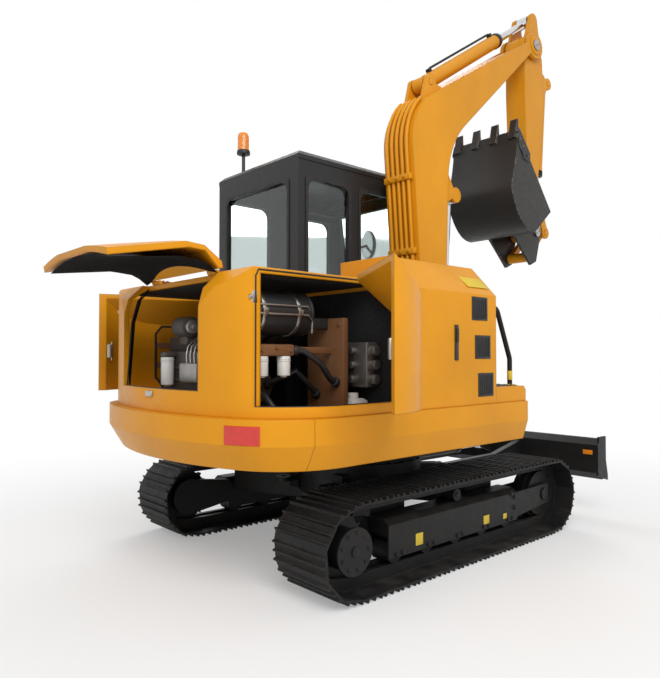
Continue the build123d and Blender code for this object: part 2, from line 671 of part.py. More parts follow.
# Boom with its forked tip and the cylinders' ears
with BuildPart() as boom:
    with BuildSketch(side_plane(BOOM_Y)):
        with BuildLine():
            rear = FilletPolyline((BOOM_FOOT[0] - 105, 1105), (185, 2960), (1775, 3960), radius=450)
            front = FilletPolyline((1900, 3958), (610, 2788), (BOOM_FOOT[0] + 105, 1105), radius=620)
            Line(rear @ 1, front @ 0)
            Line(front @ 1, rear @ 0)
        make_face()
        with Locations(BOOM_FOOT):
            Circle(105)
        with Locations(BOOM_TIP):
            Circle(115)
    extrude(amount=BOOM_HALF, both=True)
    with Locations(across(BOOM_TIP, BOOM_Y)):
        Cylinder(400, 2 * ARM_HALF + 16, mode=Mode.SUBTRACT)
        Cylinder(40.3, 3 * BOOM_HALF, mode=Mode.SUBTRACT)
    for side in (1, -1):
        with BuildSketch(side_plane(BOOM_Y + side * 74)):
            Polygon((480, 2240), BOOM_ROD_PIN, (600, 2680), (480, 2680), align=None)
            with Locations(BOOM_ROD_PIN):
                Circle(58)
        extrude(amount=13, both=True)
        with BuildSketch(side_plane(BOOM_Y + side * 76)):
            Polygon((340, 2980), (407, 3225), ARM_BASE_PIN, (523, 3225), (700, 3200), align=None)
            with Locations(ARM_BASE_PIN):
                Circle(58)
                Circle(25.3, mode=Mode.SUBTRACT)
        extrude(amount=13, both=True)
    with Locations(across(BOOM_FOOT, BOOM_Y)):
        Cylinder(35, 2 * BOOM_HALF + 80)
save(boom.part, "boom")

# Arm with its horn and the bucket cylinder's ears
with BuildPart() as arm:
    with BuildSketch(side_plane(BOOM_Y)):
        Polygon(
            (1737, 3964), (1737, 3514), (1787, 2288), (1913, 2288), (1932, 2714), (2052, 3464), (2022, 3874),
            (1902, 4014), align=None,
        )
        with Locations(BOOM_TIP):
            Circle(105)
        with Locations(BUCKET_PIN):
            Circle(58)
    extrude(amount=ARM_HALF - 6, both=True)
    for side in (1, -1):
        with BuildSketch(side_plane(BOOM_Y + side * 80)):
            Polygon((1745, 3940), (1835, 4190), ARM_ROD_PIN, (1945, 4190), (2030, 3814), align=None)
            with Locations(ARM_ROD_PIN):
                Circle(55)
        extrude(amount=14, both=True)
        with BuildSketch(side_plane(BOOM_Y + side * 68)):
            Polygon((1982, 3814), BUCKET_BASE_PIN, (2022, 3414), (1962, 3414), align=None)
            with Locations(BUCKET_BASE_PIN):
                Circle(52)
                Circle(22.3, mode=Mode.SUBTRACT)
        extrude(amount=13, both=True)
    with Locations(across(BOOM_TIP, BOOM_Y)):
        Cylinder(40, 2 * BOOM_HALF + 20)
    with Locations(across(ROCKER_PIN, BOOM_Y)):
        Cylinder(30, 2 * ARM_HALF + 50)
    with Locations(across(BUCKET_PIN, BOOM_Y)):
        Cylinder(30, 2 * ARM_HALF + 70)
save(arm.part, "arm")


ROD_INSIDE = 120


def ram(base, rod, barrel_length, barrel_radius, rod_radius, eye_half, pin_radius, pin_half, rod_pin_half, y):
    """A cylinder's barrel with its base eye, and its rod with the eye at the far end."""
    plane = along(base, rod, y)
    length = dist(base, rod)
    with BuildPart() as barrel:
        with BuildSketch(plane.offset(barrel_radius)):
            Circle(barrel_radius)
        extrude(amount=barrel_length - barrel_radius)
        with Locations(across(base, y)):
            Cylinder(barrel_radius, 2 * eye_half)
        with BuildSketch(plane.offset(barrel_radius + 60)):
            Circle(rod_radius + 0.3)
        extrude(amount=barrel_length, mode=Mode.SUBTRACT)
        with Locations(across(base, y)):
            Cylinder(pin_radius, 2 * pin_half)
    with BuildPart() as piston_rod:
        with BuildSketch(plane.offset(barrel_length - ROD_INSIDE)):
            Circle(rod_radius)
        extrude(amount=length - barrel_length + ROD_INSIDE)
        with Locations(across(rod, y)):
            Cylinder(1.7 * rod_radius, 2 * eye_half)
            Cylinder(pin_radius, 2 * rod_pin_half)
    return barrel.part, piston_rod.part


RAMS = (
    ("boom_cylinder", BOOM_BASE_PIN, BOOM_ROD_PIN, 960, 62, 34, 52, 25, 98, 60.5, BOOM_Y),
    ("arm_cylinder", ARM_BASE_PIN, ARM_ROD_PIN, 1180, 56, 30, 48, 25, 92, 65.5, BOOM_Y),
    ("bucket_cylinder", BUCKET_BASE_PIN, LINK_TOP_PIN, 850, 50, 27, 45, 22, 85, 57.5, BOOM_Y),
    ("blade_cylinder", BLADE_BASE_PIN, BLADE_ROD_PIN, 620, 45, 25, 33, 20, 74, 39.5, 0),
)
for node, *sizes in RAMS:
    barrel, piston_rod = ram(*sizes)
    save(barrel, f"{node}_barrel")
    save(piston_rod, f"{node}_rod")

# Bucket linkage: rocker plates on the arm and the link to the bucket's ears
with BuildPart() as rocker:
    for side in (1, -1):
        with BuildSketch(side_plane(BOOM_Y + side * 111)):
            with Locations(ROCKER_PIN, LINK_TOP_PIN):
                Circle(52)
            SlotCenterPoint(
                ((ROCKER_PIN[0] + LINK_TOP_PIN[0]) / 2, (ROCKER_PIN[1] + LINK_TOP_PIN[1]) / 2), LINK_TOP_PIN, 80,
            )
            with Locations(ROCKER_PIN):
                Circle(30.3, mode=Mode.SUBTRACT)
            with Locations(LINK_TOP_PIN):
                Circle(26.3, mode=Mode.SUBTRACT)
        extrude(amount=9, both=True)
save(rocker.part, "bucket_rocker")

with BuildPart() as link:
    for side in (1, -1):
        with BuildSketch(side_plane(BOOM_Y + side * 75)):
            SlotCenterPoint(
                ((LINK_TOP_PIN[0] + LINK_END_PIN[0]) / 2, (LINK_TOP_PIN[1] + LINK_END_PIN[1]) / 2), LINK_END_PIN, 50,
            )
            with Locations(LINK_TOP_PIN, LINK_END_PIN):
                Circle(42)
        extrude(amount=17, both=True)
        with Locations(across(LINK_TOP_PIN, BOOM_Y + side * 95)):
            Cylinder(26, 60)
    with Locations(across(LINK_END_PIN, BOOM_Y)):
        Cylinder(42, 150)
save(link.part, "bucket_link")

# Bucket, drawn along its teeth from the bucket pin
bucket_x = (cos(radians(TOOTH_ANGLE)), 0, sin(radians(TOOTH_ANGLE)))


def bucket_plane(y):
    """The bucket's own side view: across it runs to the teeth, and up it into the bowl."""
    return Plane(
        origin=(BUCKET_PIN[0], BOOM_Y + y, BUCKET_PIN[1]), x_dir=bucket_x, z_dir=(0, -1, 0),
    )


with BuildPart() as bucket:
    with BuildSketch(bucket_plane(0)):
        with BuildLine():
            Spline((160, 310), (330, 415), (560, 395), (925, 0), tangents=((0.6, 0.8), (0.72, -0.7)))
            Polyline((925, 0), (160, -20), (160, 310))
        make_face()
    extrude(amount=BUCKET_HALF, both=True)
    with BuildSketch(bucket_plane(0)):
        with BuildLine():
            Spline((176, 305), (335, 399), (550, 377), (905, -10), tangents=((0.6, 0.8), (0.72, -0.7)))
            Polyline((905, -10), (905, -60), (176, -60), (176, 305))
        make_face()
    extrude(amount=BUCKET_HALF - 16, both=True, mode=Mode.SUBTRACT)
    for tooth in range(TOOTH_COUNT):
        tooth_y = (tooth / (TOOTH_COUNT - 1) - 0.5) * 2 * (BUCKET_HALF - 45)
        with BuildSketch(bucket_plane(tooth_y)):
            Polygon((860, 30), (915, -30), (985, -80), (988, -66), (890, 60), align=None)
        extrude(amount=32, both=True)
    for side in (1, -1):
        with BuildSketch(bucket_plane(side * 118)):
            Polygon((165, -15), (165, 315), (20, 290), (-165, 260), (-190, 170), (-70, -10), (0, -70), align=None)
            Circle(70)
            Circle(30.3, mode=Mode.SUBTRACT)
        extrude(amount=11, both=True)
save(bucket.part, "bucket")

with BuildPart() as tow_eyes:
    with BuildSketch(Plane.XY.offset(TOW_EYE_Z - TOW_EYE_THICKNESS / 2)):
        for side in (1, -1):
            Polygon(
                (-415, side * TOW_EYE_Y - 45), (-415, side * TOW_EYE_Y + 45), (TOW_EYE_X, side * TOW_EYE_Y + 55),
                (TOW_EYE_X, side * TOW_EYE_Y - 55), align=None,
            )
            with Locations((TOW_EYE_X, side * TOW_EYE_Y)):
                Circle(55)
                Circle(25, mode=Mode.SUBTRACT)
    extrude(amount=TOW_EYE_THICKNESS)
save(tow_eyes.part, "tow_eyes")
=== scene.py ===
from math import cos, pi, radians, sin

import bmesh
import bpy
from mathutils import Matrix, Vector


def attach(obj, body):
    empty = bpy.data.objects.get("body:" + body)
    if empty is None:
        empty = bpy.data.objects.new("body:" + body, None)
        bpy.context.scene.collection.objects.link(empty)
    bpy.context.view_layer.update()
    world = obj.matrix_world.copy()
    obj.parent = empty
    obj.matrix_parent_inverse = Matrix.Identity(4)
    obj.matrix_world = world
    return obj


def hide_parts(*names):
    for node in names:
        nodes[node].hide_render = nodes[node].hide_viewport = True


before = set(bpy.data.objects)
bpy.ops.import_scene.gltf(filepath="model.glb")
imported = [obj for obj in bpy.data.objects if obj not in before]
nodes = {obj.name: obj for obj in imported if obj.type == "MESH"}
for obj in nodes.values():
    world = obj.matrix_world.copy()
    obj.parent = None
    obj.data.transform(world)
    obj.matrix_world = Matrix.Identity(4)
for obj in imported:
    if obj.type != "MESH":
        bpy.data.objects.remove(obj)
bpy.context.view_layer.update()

# Camera: a plain lens at eye height, behind the machine's right rear corner, where the photograph
# was taken from.
camera_data = bpy.data.cameras.new("photo_camera")
camera = bpy.data.objects.new("photo_camera", camera_data)
bpy.context.scene.collection.objects.link(camera)
camera.location = (-3.2376, -3.0059, 1.2273)
camera.rotation_euler = (radians(91.40), 0, radians(48.135 - 90))
camera_data.sensor_width = 36
camera_data.lens = 33.57
bpy.context.scene.camera = camera
bpy.context.scene.view_settings.view_transform = "Standard"

# Studio light: a white surround that the camera, metal and glass see as white, one large soft lamp
# over the camera's right shoulder and a weaker one behind the machine.
WORLD_LIGHT = 0.62
world = bpy.data.worlds.new("studio")
bpy.context.scene.world = world
world.use_nodes = True
world_nodes = world.node_tree.nodes
world_links = world.node_tree.links
surround = world_nodes["Background"]
rays = world_nodes.new("ShaderNodeLightPath")
direct = world_nodes.new("ShaderNodeMath")
direct.operation = "MAXIMUM"
world_links.new(rays.outputs["Is Camera Ray"], direct.inputs[0])
world_links.new(rays.outputs["Is Transmission Ray"], direct.inputs[1])
seen = world_nodes.new("ShaderNodeMath")
seen.operation = "MAXIMUM"
world_links.new(direct.outputs["Value"], seen.inputs[0])
world_links.new(rays.outputs["Is Glossy Ray"], seen.inputs[1])
level = world_nodes.new("ShaderNodeMapRange")
level.inputs["To Min"].default_value = WORLD_LIGHT
level.inputs["To Max"].default_value = 1.0
world_links.new(seen.outputs["Value"], level.inputs["Value"])
world_links.new(level.outputs["Result"], surround.inputs["Strength"])
surround.inputs["Color"].default_value = (1, 1, 1, 1)

for lamp_name, place, aim, size, power in (
    ("key_lamp", (-3.6, -4.8, 5.5), (0, 0, 1.0), 4.0, 310),
    ("back_lamp", (3.5, 4.5, 5.0), (0, 0, 1.5), 4.0, 160),
):
    lamp_data = bpy.data.lights.new(lamp_name, "AREA")
    lamp_data.size = size
    lamp_data.energy = power
    lamp = bpy.data.objects.new(lamp_name, lamp_data)
    bpy.context.scene.collection.objects.link(lamp)
    lamp.location = place
    lamp.rotation_euler = (Vector(aim) - Vector(place)).to_track_quat("-Z", "Y").to_euler()

# Floor: a wide pale sheet under the tracks that runs out to white and keeps the machine's shadow.
FLOOR_HALF = 40
floor_mesh = bmesh.new()
bmesh.ops.create_grid(floor_mesh, x_segments=2, y_segments=2, size=FLOOR_HALF)
floor_data = bpy.data.meshes.new("floor")
floor_mesh.to_mesh(floor_data)
floor_mesh.free()
floor = bpy.data.objects.new("floor", floor_data)
bpy.context.scene.collection.objects.link(floor)
floor.location.z = -0.002
floor_paper = bpy.data.materials.new("floor_paper")
floor_paper.use_nodes = True
paper_nodes = floor_paper.node_tree.nodes
paper_links = floor_paper.node_tree.links
paper = paper_nodes["Principled BSDF"]
paper.inputs["Base Color"].default_value = (0.86, 0.86, 0.86, 1)
paper.inputs["Roughness"].default_value = 0.9
paper.inputs["Specular IOR Level"].default_value = 0.0
glow = paper_nodes.new("ShaderNodeEmission")
paper_rays = paper_nodes.new("ShaderNodeLightPath")
looked = paper_nodes.new("ShaderNodeMath")
looked.operation = "MAXIMUM"
mirrored = paper_nodes.new("ShaderNodeMath")
mirrored.operation = "MAXIMUM"
paper_place = paper_nodes.new("ShaderNodeTexCoord")
paper_reach = paper_nodes.new("ShaderNodeVectorMath")
paper_reach.operation = "LENGTH"
paper_links.new(paper_place.outputs["Object"], paper_reach.inputs[0])
fade = paper_nodes.new("ShaderNodeMapRange")
fade.interpolation_type = "SMOOTHSTEP"
fade.inputs["From Min"].default_value = 1.2
fade.inputs["From Max"].default_value = 5.5
fade.inputs["To Min"].default_value = 0.30
fade.inputs["To Max"].default_value = 1.0
paper_links.new(paper_reach.outputs["Value"], fade.inputs["Value"])
share = paper_nodes.new("ShaderNodeMath")
share.operation = "MULTIPLY"
paper_links.new(fade.outputs["Result"], share.inputs[1])
paper_mix = paper_nodes.new("ShaderNodeMixShader")
paper_links.new(paper_rays.outputs["Is Glossy Ray"], mirrored.inputs[0])
paper_links.new(paper_rays.outputs["Is Transmission Ray"], mirrored.inputs[1])
paper_links.new(paper_rays.outputs["Is Camera Ray"], looked.inputs[0])
paper_links.new(mirrored.outputs["Value"], looked.inputs[1])
paper_links.new(looked.outputs["Value"], share.inputs[0])
paper_links.new(share.outputs["Value"], paper_mix.inputs["Fac"])
paper_links.new(paper.outputs["BSDF"], paper_mix.inputs[1])
paper_links.new(glow.outputs["Emission"], paper_mix.inputs[2])
paper_links.new(paper_mix.outputs["Shader"], paper_nodes["Material Output"].inputs["Surface"])
floor_data.materials.append(floor_paper)


# Tracks: two loops of rolled steel shoes with three grousers each, pinned to forged links. The
# black paint is worn to dark steel on the grousers, and dry earth sits in the corners.
def new_group(name, inputs, outputs):
    """An empty shader node group with its named sockets."""
    group = bpy.data.node_groups.new(name, "ShaderNodeTree")
    for label, kind, value in inputs:
        socket = group.interface.new_socket(label, in_out="INPUT", socket_type=kind)
        socket.default_value = value
    for label, kind in outputs:
        group.interface.new_socket(label, in_out="OUTPUT", socket_type=kind)
    return group, group.nodes.new("NodeGroupInput"), group.nodes.new("NodeGroupOutput")


def math_node(tree, operation, first, second):
    """A Math node on two sockets or numbers; gives its output."""
    node = tree.nodes.new("ShaderNodeMath")
    node.operation = operation
    for index, value in enumerate((first, second)):
        if isinstance(value, (int, float)):
            node.inputs[index].default_value = value
        else:
            tree.links.new(value, node.inputs[index])
    return node.outputs["Value"]


def range_node(tree, value, low, high, start, end):
    """A clamped Map Range node; gives its output."""
    node = tree.nodes.new("ShaderNodeMapRange")
    for label, given in (("From Min", low), ("From Max", high), ("To Min", start), ("To Max", end)):
        if isinstance(given, (int, float)):
            node.inputs[label].default_value = given
        else:
            tree.links.new(given, node.inputs[label])
    tree.links.new(value, node.inputs["Value"])
    return node.outputs["Result"]


def noise_node(tree, scale, detail):
    """Noise in the piece's own metres; gives its value output."""
    coordinates = tree.nodes.new("ShaderNodeTexCoord")
    node = tree.nodes.new("ShaderNodeTexNoise")
    node.inputs["Scale"].default_value = scale
    node.inputs["Detail"].default_value = detail
    tree.links.new(coordinates.outputs["Object"], node.inputs["Vector"])
    return node.outputs["Fac"]


def mix_node(tree, factor, first, second):
    """A colour mix of two sockets or colours; gives its output."""
    node = tree.nodes.new("ShaderNodeMix")
    node.data_type = "RGBA"
    tree.links.new(factor, node.inputs["Factor"])
    for label, value in (("A", first), ("B", second)):
        socket = [entry for entry in node.inputs if entry.name == label and entry.type == "RGBA"][0]
        if isinstance(value, tuple):
            socket.default_value = value
        else:
            tree.links.new(value, socket)
    return [entry for entry in node.outputs if entry.type == "RGBA"][0]


COLOUR = "NodeSocketColor"
NUMBER = "NodeSocketFloat"
DIRECTION = "NodeSocketVector"

dust_group, dust_in, dust_out = new_group(
    "settled_dust",
    (
        ("Coat", COLOUR, (0.5, 0.5, 0.5, 1)), ("Dust", COLOUR, (0.25, 0.2, 0.15, 1)),
        ("Reach", NUMBER, 1.0), ("Strength", NUMBER, 0.5), ("Polish", NUMBER, 0.4),
    ),
    (("Color", COLOUR), ("Roughness", NUMBER), ("Grain", NUMBER)),
)
dust_place = dust_group.nodes.new("ShaderNodeTexCoord")
dust_split = dust_group.nodes.new("ShaderNodeSeparateXYZ")
dust_group.links.new(dust_place.outputs["Object"], dust_split.inputs["Vector"])
low_share = range_node(dust_group, dust_split.outputs["Z"], 0.0, dust_in.outputs["Reach"], 1.0, 0.0)
patches = range_node(dust_group, noise_node(dust_group, 7.0, 7.0), 0.38, 0.72, 0.0, 1.0)
facing = dust_group.nodes.new("ShaderNodeNewGeometry")
facing_split = dust_group.nodes.new("ShaderNodeSeparateXYZ")
dust_group.links.new(facing.outputs["Normal"], facing_split.inputs["Vector"])
upward = range_node(dust_group, facing_split.outputs["Z"], 0.3, 1.0, 0.25, 1.0)
dust_share = math_node(dust_group, "MULTIPLY", low_share, patches)
dust_share = math_node(dust_group, "MULTIPLY", dust_share, upward)
dust_share = math_node(dust_group, "MULTIPLY", dust_share, dust_in.outputs["Strength"])
shade_share = range_node(dust_group, noise_node(dust_group, 1.7, 3.0), 0.3, 0.7, 0.0, 0.16)
shaded = mix_node(dust_group, shade_share, dust_in.outputs["Coat"], (0.02, 0.015, 0.01, 1))
dusted = mix_node(dust_group, dust_share, shaded, dust_in.outputs["Dust"])
dust_group.links.new(dusted, dust_out.inputs["Color"])
smear = range_node(dust_group, noise_node(dust_group, 23.0, 4.0), 0.3, 0.7, -0.05, 0.08)
matted = math_node(dust_group, "MULTIPLY", dust_share, 0.45)
worn_polish = math_node(dust_group, "ADD", dust_in.outputs["Polish"], smear)
dust_group.links.new(math_node(dust_group, "ADD", worn_polish, matted), dust_out.inputs["Roughness"])
dust_group.links.new(noise_node(dust_group, 260.0, 2.0), dust_out.inputs["Grain"])

edge_group, edge_in, edge_out = new_group(
    "worn_edges",
    (
        ("Coat", COLOUR, (0.5, 0.5, 0.5, 1)), ("Bare", COLOUR, (0.2, 0.19, 0.18, 1)),
        ("Amount", NUMBER, 0.5), ("Width", NUMBER, 0.004),
    ),
    (("Color", COLOUR), ("Bare", NUMBER), ("Normal", DIRECTION)),
)
rounding = edge_group.nodes.new("ShaderNodeBevel")
rounding.samples = 4
edge_group.links.new(edge_in.outputs["Width"], rounding.inputs["Radius"])
flat = edge_group.nodes.new("ShaderNodeNewGeometry")
agreement = edge_group.nodes.new("ShaderNodeVectorMath")
agreement.operation = "DOT_PRODUCT"
edge_group.links.new(rounding.outputs["Normal"], agreement.inputs[0])
edge_group.links.new(flat.outputs["Normal"], agreement.inputs[1])
edge_share = range_node(edge_group, agreement.outputs["Value"], 0.99, 0.86, 0.0, 1.0)
chips = range_node(edge_group, noise_node(edge_group, 34.0, 5.0), 0.46, 0.60, 0.0, 1.0)
edge_share = math_node(edge_group, "MULTIPLY", edge_share, chips)
edge_share = math_node(edge_group, "MULTIPLY", edge_share, edge_in.outputs["Amount"])
chipped = mix_node(edge_group, edge_share, edge_in.outputs["Coat"], edge_in.outputs["Bare"])
edge_group.links.new(chipped, edge_out.inputs["Color"])
edge_group.links.new(edge_share, edge_out.inputs["Bare"])
edge_group.links.new(rounding.outputs["Normal"], edge_out.inputs["Normal"])


def coated(name, coat, polish, dust=(0.23, 0.18, 0.13, 1), reach=1.0, strength=0.5,
           bare=(0.16, 0.15, 0.14, 1), amount=0.4, width=0.004, grain=0.04, metal=0.0, shine=0.5):
    """A finish of one coat, with settled dust and worn edges."""
    made = bpy.data.materials.new(name)
    made.use_nodes = True
    tree = made.node_tree
    shader = tree.nodes["Principled BSDF"]
    shader.inputs["Metallic"].default_value = metal
    shader.inputs["Specular IOR Level"].default_value = shine
    dusty = tree.nodes.new("ShaderNodeGroup")
    dusty.node_tree = dust_group
    dusty.inputs["Coat"].default_value = coat
    dusty.inputs["Dust"].default_value = dust
    dusty.inputs["Reach"].default_value = reach
    dusty.inputs["Strength"].default_value = strength
    dusty.inputs["Polish"].default_value = polish
    edges = tree.nodes.new("ShaderNodeGroup")
    edges.node_tree = edge_group
    edges.inputs["Bare"].default_value = bare
    edges.inputs["Amount"].default_value = amount
    edges.inputs["Width"].default_value = width
    relief = tree.nodes.new("ShaderNodeBump")
    relief.inputs["Strength"].default_value = grain
    relief.inputs["Distance"].default_value = 0.002
    tree.links.new(dusty.outputs["Color"], edges.inputs["Coat"])
    tree.links.new(edges.outputs["Color"], shader.inputs["Base Color"])
    tree.links.new(dusty.outputs["Roughness"], shader.inputs["Roughness"])
    tree.links.new(dusty.outputs["Grain"], relief.inputs["Height"])
    tree.links.new(edges.outputs["Normal"], relief.inputs["Normal"])
    tree.links.new(relief.outputs["Normal"], shader.inputs["Normal"])
    return made


def dress(made, *names):
    """Give CAD nodes a finish."""
    for name in names:
        slots = nodes[name].data.materials
        slots.clear()
        slots.append(made)


track_steel = coated(
    "track_steel", (0.010, 0.010, 0.0105, 1), 0.5, dust=(0.10, 0.085, 0.07, 1), reach=0.6, strength=0.35,
    bare=(0.09, 0.088, 0.085, 1), amount=0.5, width=0.005, grain=0.12, shine=0.22,
)
dress(track_steel, "track_left", "track_right", "rollers_left", "rollers_right")


# Track frames: welded boxes in satin black, with roller bolts along the lower edge of the side
# plates and three blank yellow tags on each outer side.
def spot(x, y, z):
    """A point given in millimetres from the swing axis on the ground, in the shared frame."""
    return Vector(((x - 95) / 1000, (y + 191) / 1000, z / 1000))


def turned(place, facing):
    """A matrix that stands a shape on a place, with its Z along a direction."""
    return Matrix.Translation(place) @ Vector(facing).to_track_quat("Z", "Y").to_matrix().to_4x4()


def bolt(mesh, place, facing, radius=0.011, height=0.009):
    """A hexagon head on its washer."""
    stand = turned(place, facing)
    for sides, size, low, high in ((20, 1.5 * radius, -0.2, 0.25), (6, 1.12 * radius, 0.25, 1.0)):
        bmesh.ops.create_cone(
            mesh, cap_ends=True, segments=sides, radius1=size, radius2=0.95 * size,
            depth=(high - low) * height,
            matrix=stand @ Matrix.Translation((0, 0, (low + high) / 2 * height)),
        )


def disc(mesh, place, facing, radius, height, top=1.0, sides=32):
    """A turned disc that stands on a place, with a bevelled rim."""
    stand = turned(place, facing)
    made = bmesh.ops.create_cone(
        mesh, cap_ends=True, segments=sides, radius1=radius, radius2=top * radius, depth=height,
        matrix=stand @ Matrix.Translation((0, 0, height / 2)),
    )
    rim = {edge for vertex in made["verts"] for edge in vertex.link_edges if len(edge.link_faces) == 2}
    sharp = [edge for edge in rim if edge.calc_face_angle() > 0.9]
    bevel = min(0.12 * radius, 0.3 * height)
    bmesh.ops.bevel(mesh, geom=sharp, offset=bevel, segments=2, affect="EDGES", profile=0.5)


def block(mesh, place, size, turn=None, rounding=0.003):
    """A block with rounded edges, centred on a place."""
    stand = Matrix.Translation(place) @ (turn or Matrix()) @ Matrix.Diagonal((*size, 1))
    made = bmesh.ops.create_cube(mesh, size=1, matrix=stand)
    edges = list({edge for vertex in made["verts"] for edge in vertex.link_edges})
    bevel = min(rounding, 0.4 * min(size))
    bmesh.ops.bevel(mesh, geom=edges, offset=bevel, segments=2, affect="EDGES", profile=0.5)


def piece(name, mesh, made, body):
    """Turn a finished mesh into a piece that rides on a body."""
    data = bpy.data.meshes.new(name)
    bmesh.ops.recalc_face_normals(mesh, faces=mesh.faces)
    mesh.to_mesh(data)
    mesh.free()
    data.materials.append(made)
    data.shade_smooth()
    data.set_sharp_from_angle(angle=radians(32))
    thing = bpy.data.objects.new(name, data)
    bpy.context.scene.collection.objects.link(thing)
    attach(thing, body)
    return thing


black_enamel = coated(
    "black_enamel", (0.010, 0.010, 0.0105, 1), 0.42, dust=(0.10, 0.085, 0.07, 1), reach=0.9, strength=0.3,
    bare=(0.08, 0.078, 0.075, 1), amount=0.4, shine=0.22,
)
dress(black_enamel, "track_frame_left", "track_frame_right")
plated_steel = coated(
    "plated_steel", (0.46, 0.45, 0.42, 1), 0.34, strength=0.25, amount=0.2, width=0.001, metal=1.0,
)
FRAME_SIDE = 875
ROLLER_BOLTS = (-555, -285, -15, 255, 525)
frame_bolts = bmesh.new()
for side in (1, -1):
    for bolt_x in ROLLER_BOLTS:
        for offset in (-26, 26):
            bolt(frame_bolts, spot(bolt_x + offset, side * FRAME_SIDE, 150), (0, side, 0))
    for bolt_x, bolt_z in ((580, 215), (580, 285), (540, 310)):
        bolt(frame_bolts, spot(bolt_x, side * FRAME_SIDE, bolt_z), (0, side, 0), 0.013, 0.011)
piece("track_frame_bolts", frame_bolts, black_enamel, "undercarriage")
tag_yellow = coated("tag_yellow", (0.72, 0.52, 0.03, 1), 0.5, strength=0.5, amount=0.3, width=0.001)
tags = bmesh.new()
for side in (1, -1):
    for tag_x, tag_z, wide, high in ((-390, 195, 62, 66), (258, 190, 60, 54), (465, 178, 40, 34)):
        place = spot(tag_x, side * (FRAME_SIDE + 0.4), tag_z)
        block(tags, place, (wide / 1000, 0.0012, high / 1000), rounding=0.0004)
piece("track_frame_tags", tags, tag_yellow, "undercarriage")

# Sprockets and idlers: cast wheels in black, with a ring of bolts around each final-drive cover and
# a turned cap on each idler axle.
dress(black_enamel, "sprocket_left", "sprocket_right", "idler_left", "idler_right")
AXLE_X = 951
AXLE_Z = 252
COVER_FACE = 940
wheel_bolts = bmesh.new()
for side in (1, -1):
    for turn in range(9):
        angle = 2 * pi * turn / 9
        place = spot(-AXLE_X + 92 * cos(angle), side * COVER_FACE, AXLE_Z + 92 * sin(angle))
        bolt(wheel_bolts, place, (0, side, 0), 0.008, 0.007)
    disc(wheel_bolts, spot(-AXLE_X, side * COVER_FACE, AXLE_Z), (0, side, 0), 0.026, 0.007)
    disc(wheel_bolts, spot(AXLE_X, side * FRAME_SIDE, AXLE_Z), (0, side, 0), 0.042, 0.012)
piece("wheel_bolts", wheel_bolts, black_enamel, "undercarriage")

# Lower frame, swing bearing and tow eyes: one welded casting in black under a machined ring, with
# bolts around the ring.
dress(black_enamel, "lower_frame", "swing_bearing", "tow_eyes")
ring_bolts = bmesh.new()
for turn in range(24):
    angle = 2 * pi * turn / 24
    bolt(ring_bolts, spot(415 * cos(angle), 415 * sin(angle), 520), (0, 0, 1), 0.010, 0.010)
piece("swing_ring_bolts", ring_bolts, black_enamel, "undercarriage")

# Dozer blade: a rolled mouldboard on two push arms, black, with a bolted cutting edge and a small
# amber reflector on the back of each end.
dress(black_enamel, "blade", "blade_cylinder_barrel")
edge_bolts = bmesh.new()
for step in range(9):
    bolt(edge_bolts, spot(1634, -880 + 220 * step, 318), (1, 0, 0.22), 0.012, 0.008)
piece("cutting_edge_bolts", edge_bolts, black_enamel, "blade")


def lens(name, colour, glow):
    """A moulded lens: glossy and slightly translucent, with fine ribs."""
    made = bpy.data.materials.new(name)
    made.use_nodes = True
    tree = made.node_tree
    shader = tree.nodes["Principled BSDF"]
    shader.inputs["Roughness"].default_value = 0.14
    shader.inputs["Subsurface Weight"].default_value = glow
    shader.inputs["Subsurface Radius"].default_value = (0.02, 0.01, 0.005)
    shader.inputs["Coat Weight"].default_value = 0.5
    ribs = tree.nodes.new("ShaderNodeTexWave")
    ribs.inputs["Scale"].default_value = 55
    place = tree.nodes.new("ShaderNodeTexCoord")
    tree.links.new(place.outputs["Object"], ribs.inputs["Vector"])
    relief = tree.nodes.new("ShaderNodeBump")
    relief.inputs["Strength"].default_value = 0.25
    relief.inputs["Distance"].default_value = 0.002
    tree.links.new(ribs.outputs["Fac"], relief.inputs["Height"])
    tree.links.new(relief.outputs["Normal"], shader.inputs["Normal"])
    tint = range_node(tree, noise_node(tree, 40.0, 3.0), 0.3, 0.7, 0.0, 0.25)
    dark = (0.4 * colour[0], 0.4 * colour[1], 0.4 * colour[2], 1)
    tree.links.new(mix_node(tree, tint, colour, dark), shader.inputs["Base Color"])
    return made


amber_lens = lens("amber_lens", (0.86, 0.27, 0.012, 1), 0.3)
markers = bmesh.new()
for side in (1, -1):
    block(markers, spot(1557, side * 900, 483), (0.006, 0.075, 0.034), rounding=0.003)
piece("blade_reflectors", markers, amber_lens, "blade")

# Cylinder rods: ground steel with hard chrome, bright under a film of oil. They slide in the four
# barrels.
chrome = coated(
    "hard_chrome", (0.72, 0.73, 0.75, 1), 0.13, strength=0.0, amount=0.0, width=0.002, grain=0.01, metal=1.0,
)
dress(chrome, *(f"{name}_cylinder_rod" for name in ("boom", "arm", "bucket", "blade")))

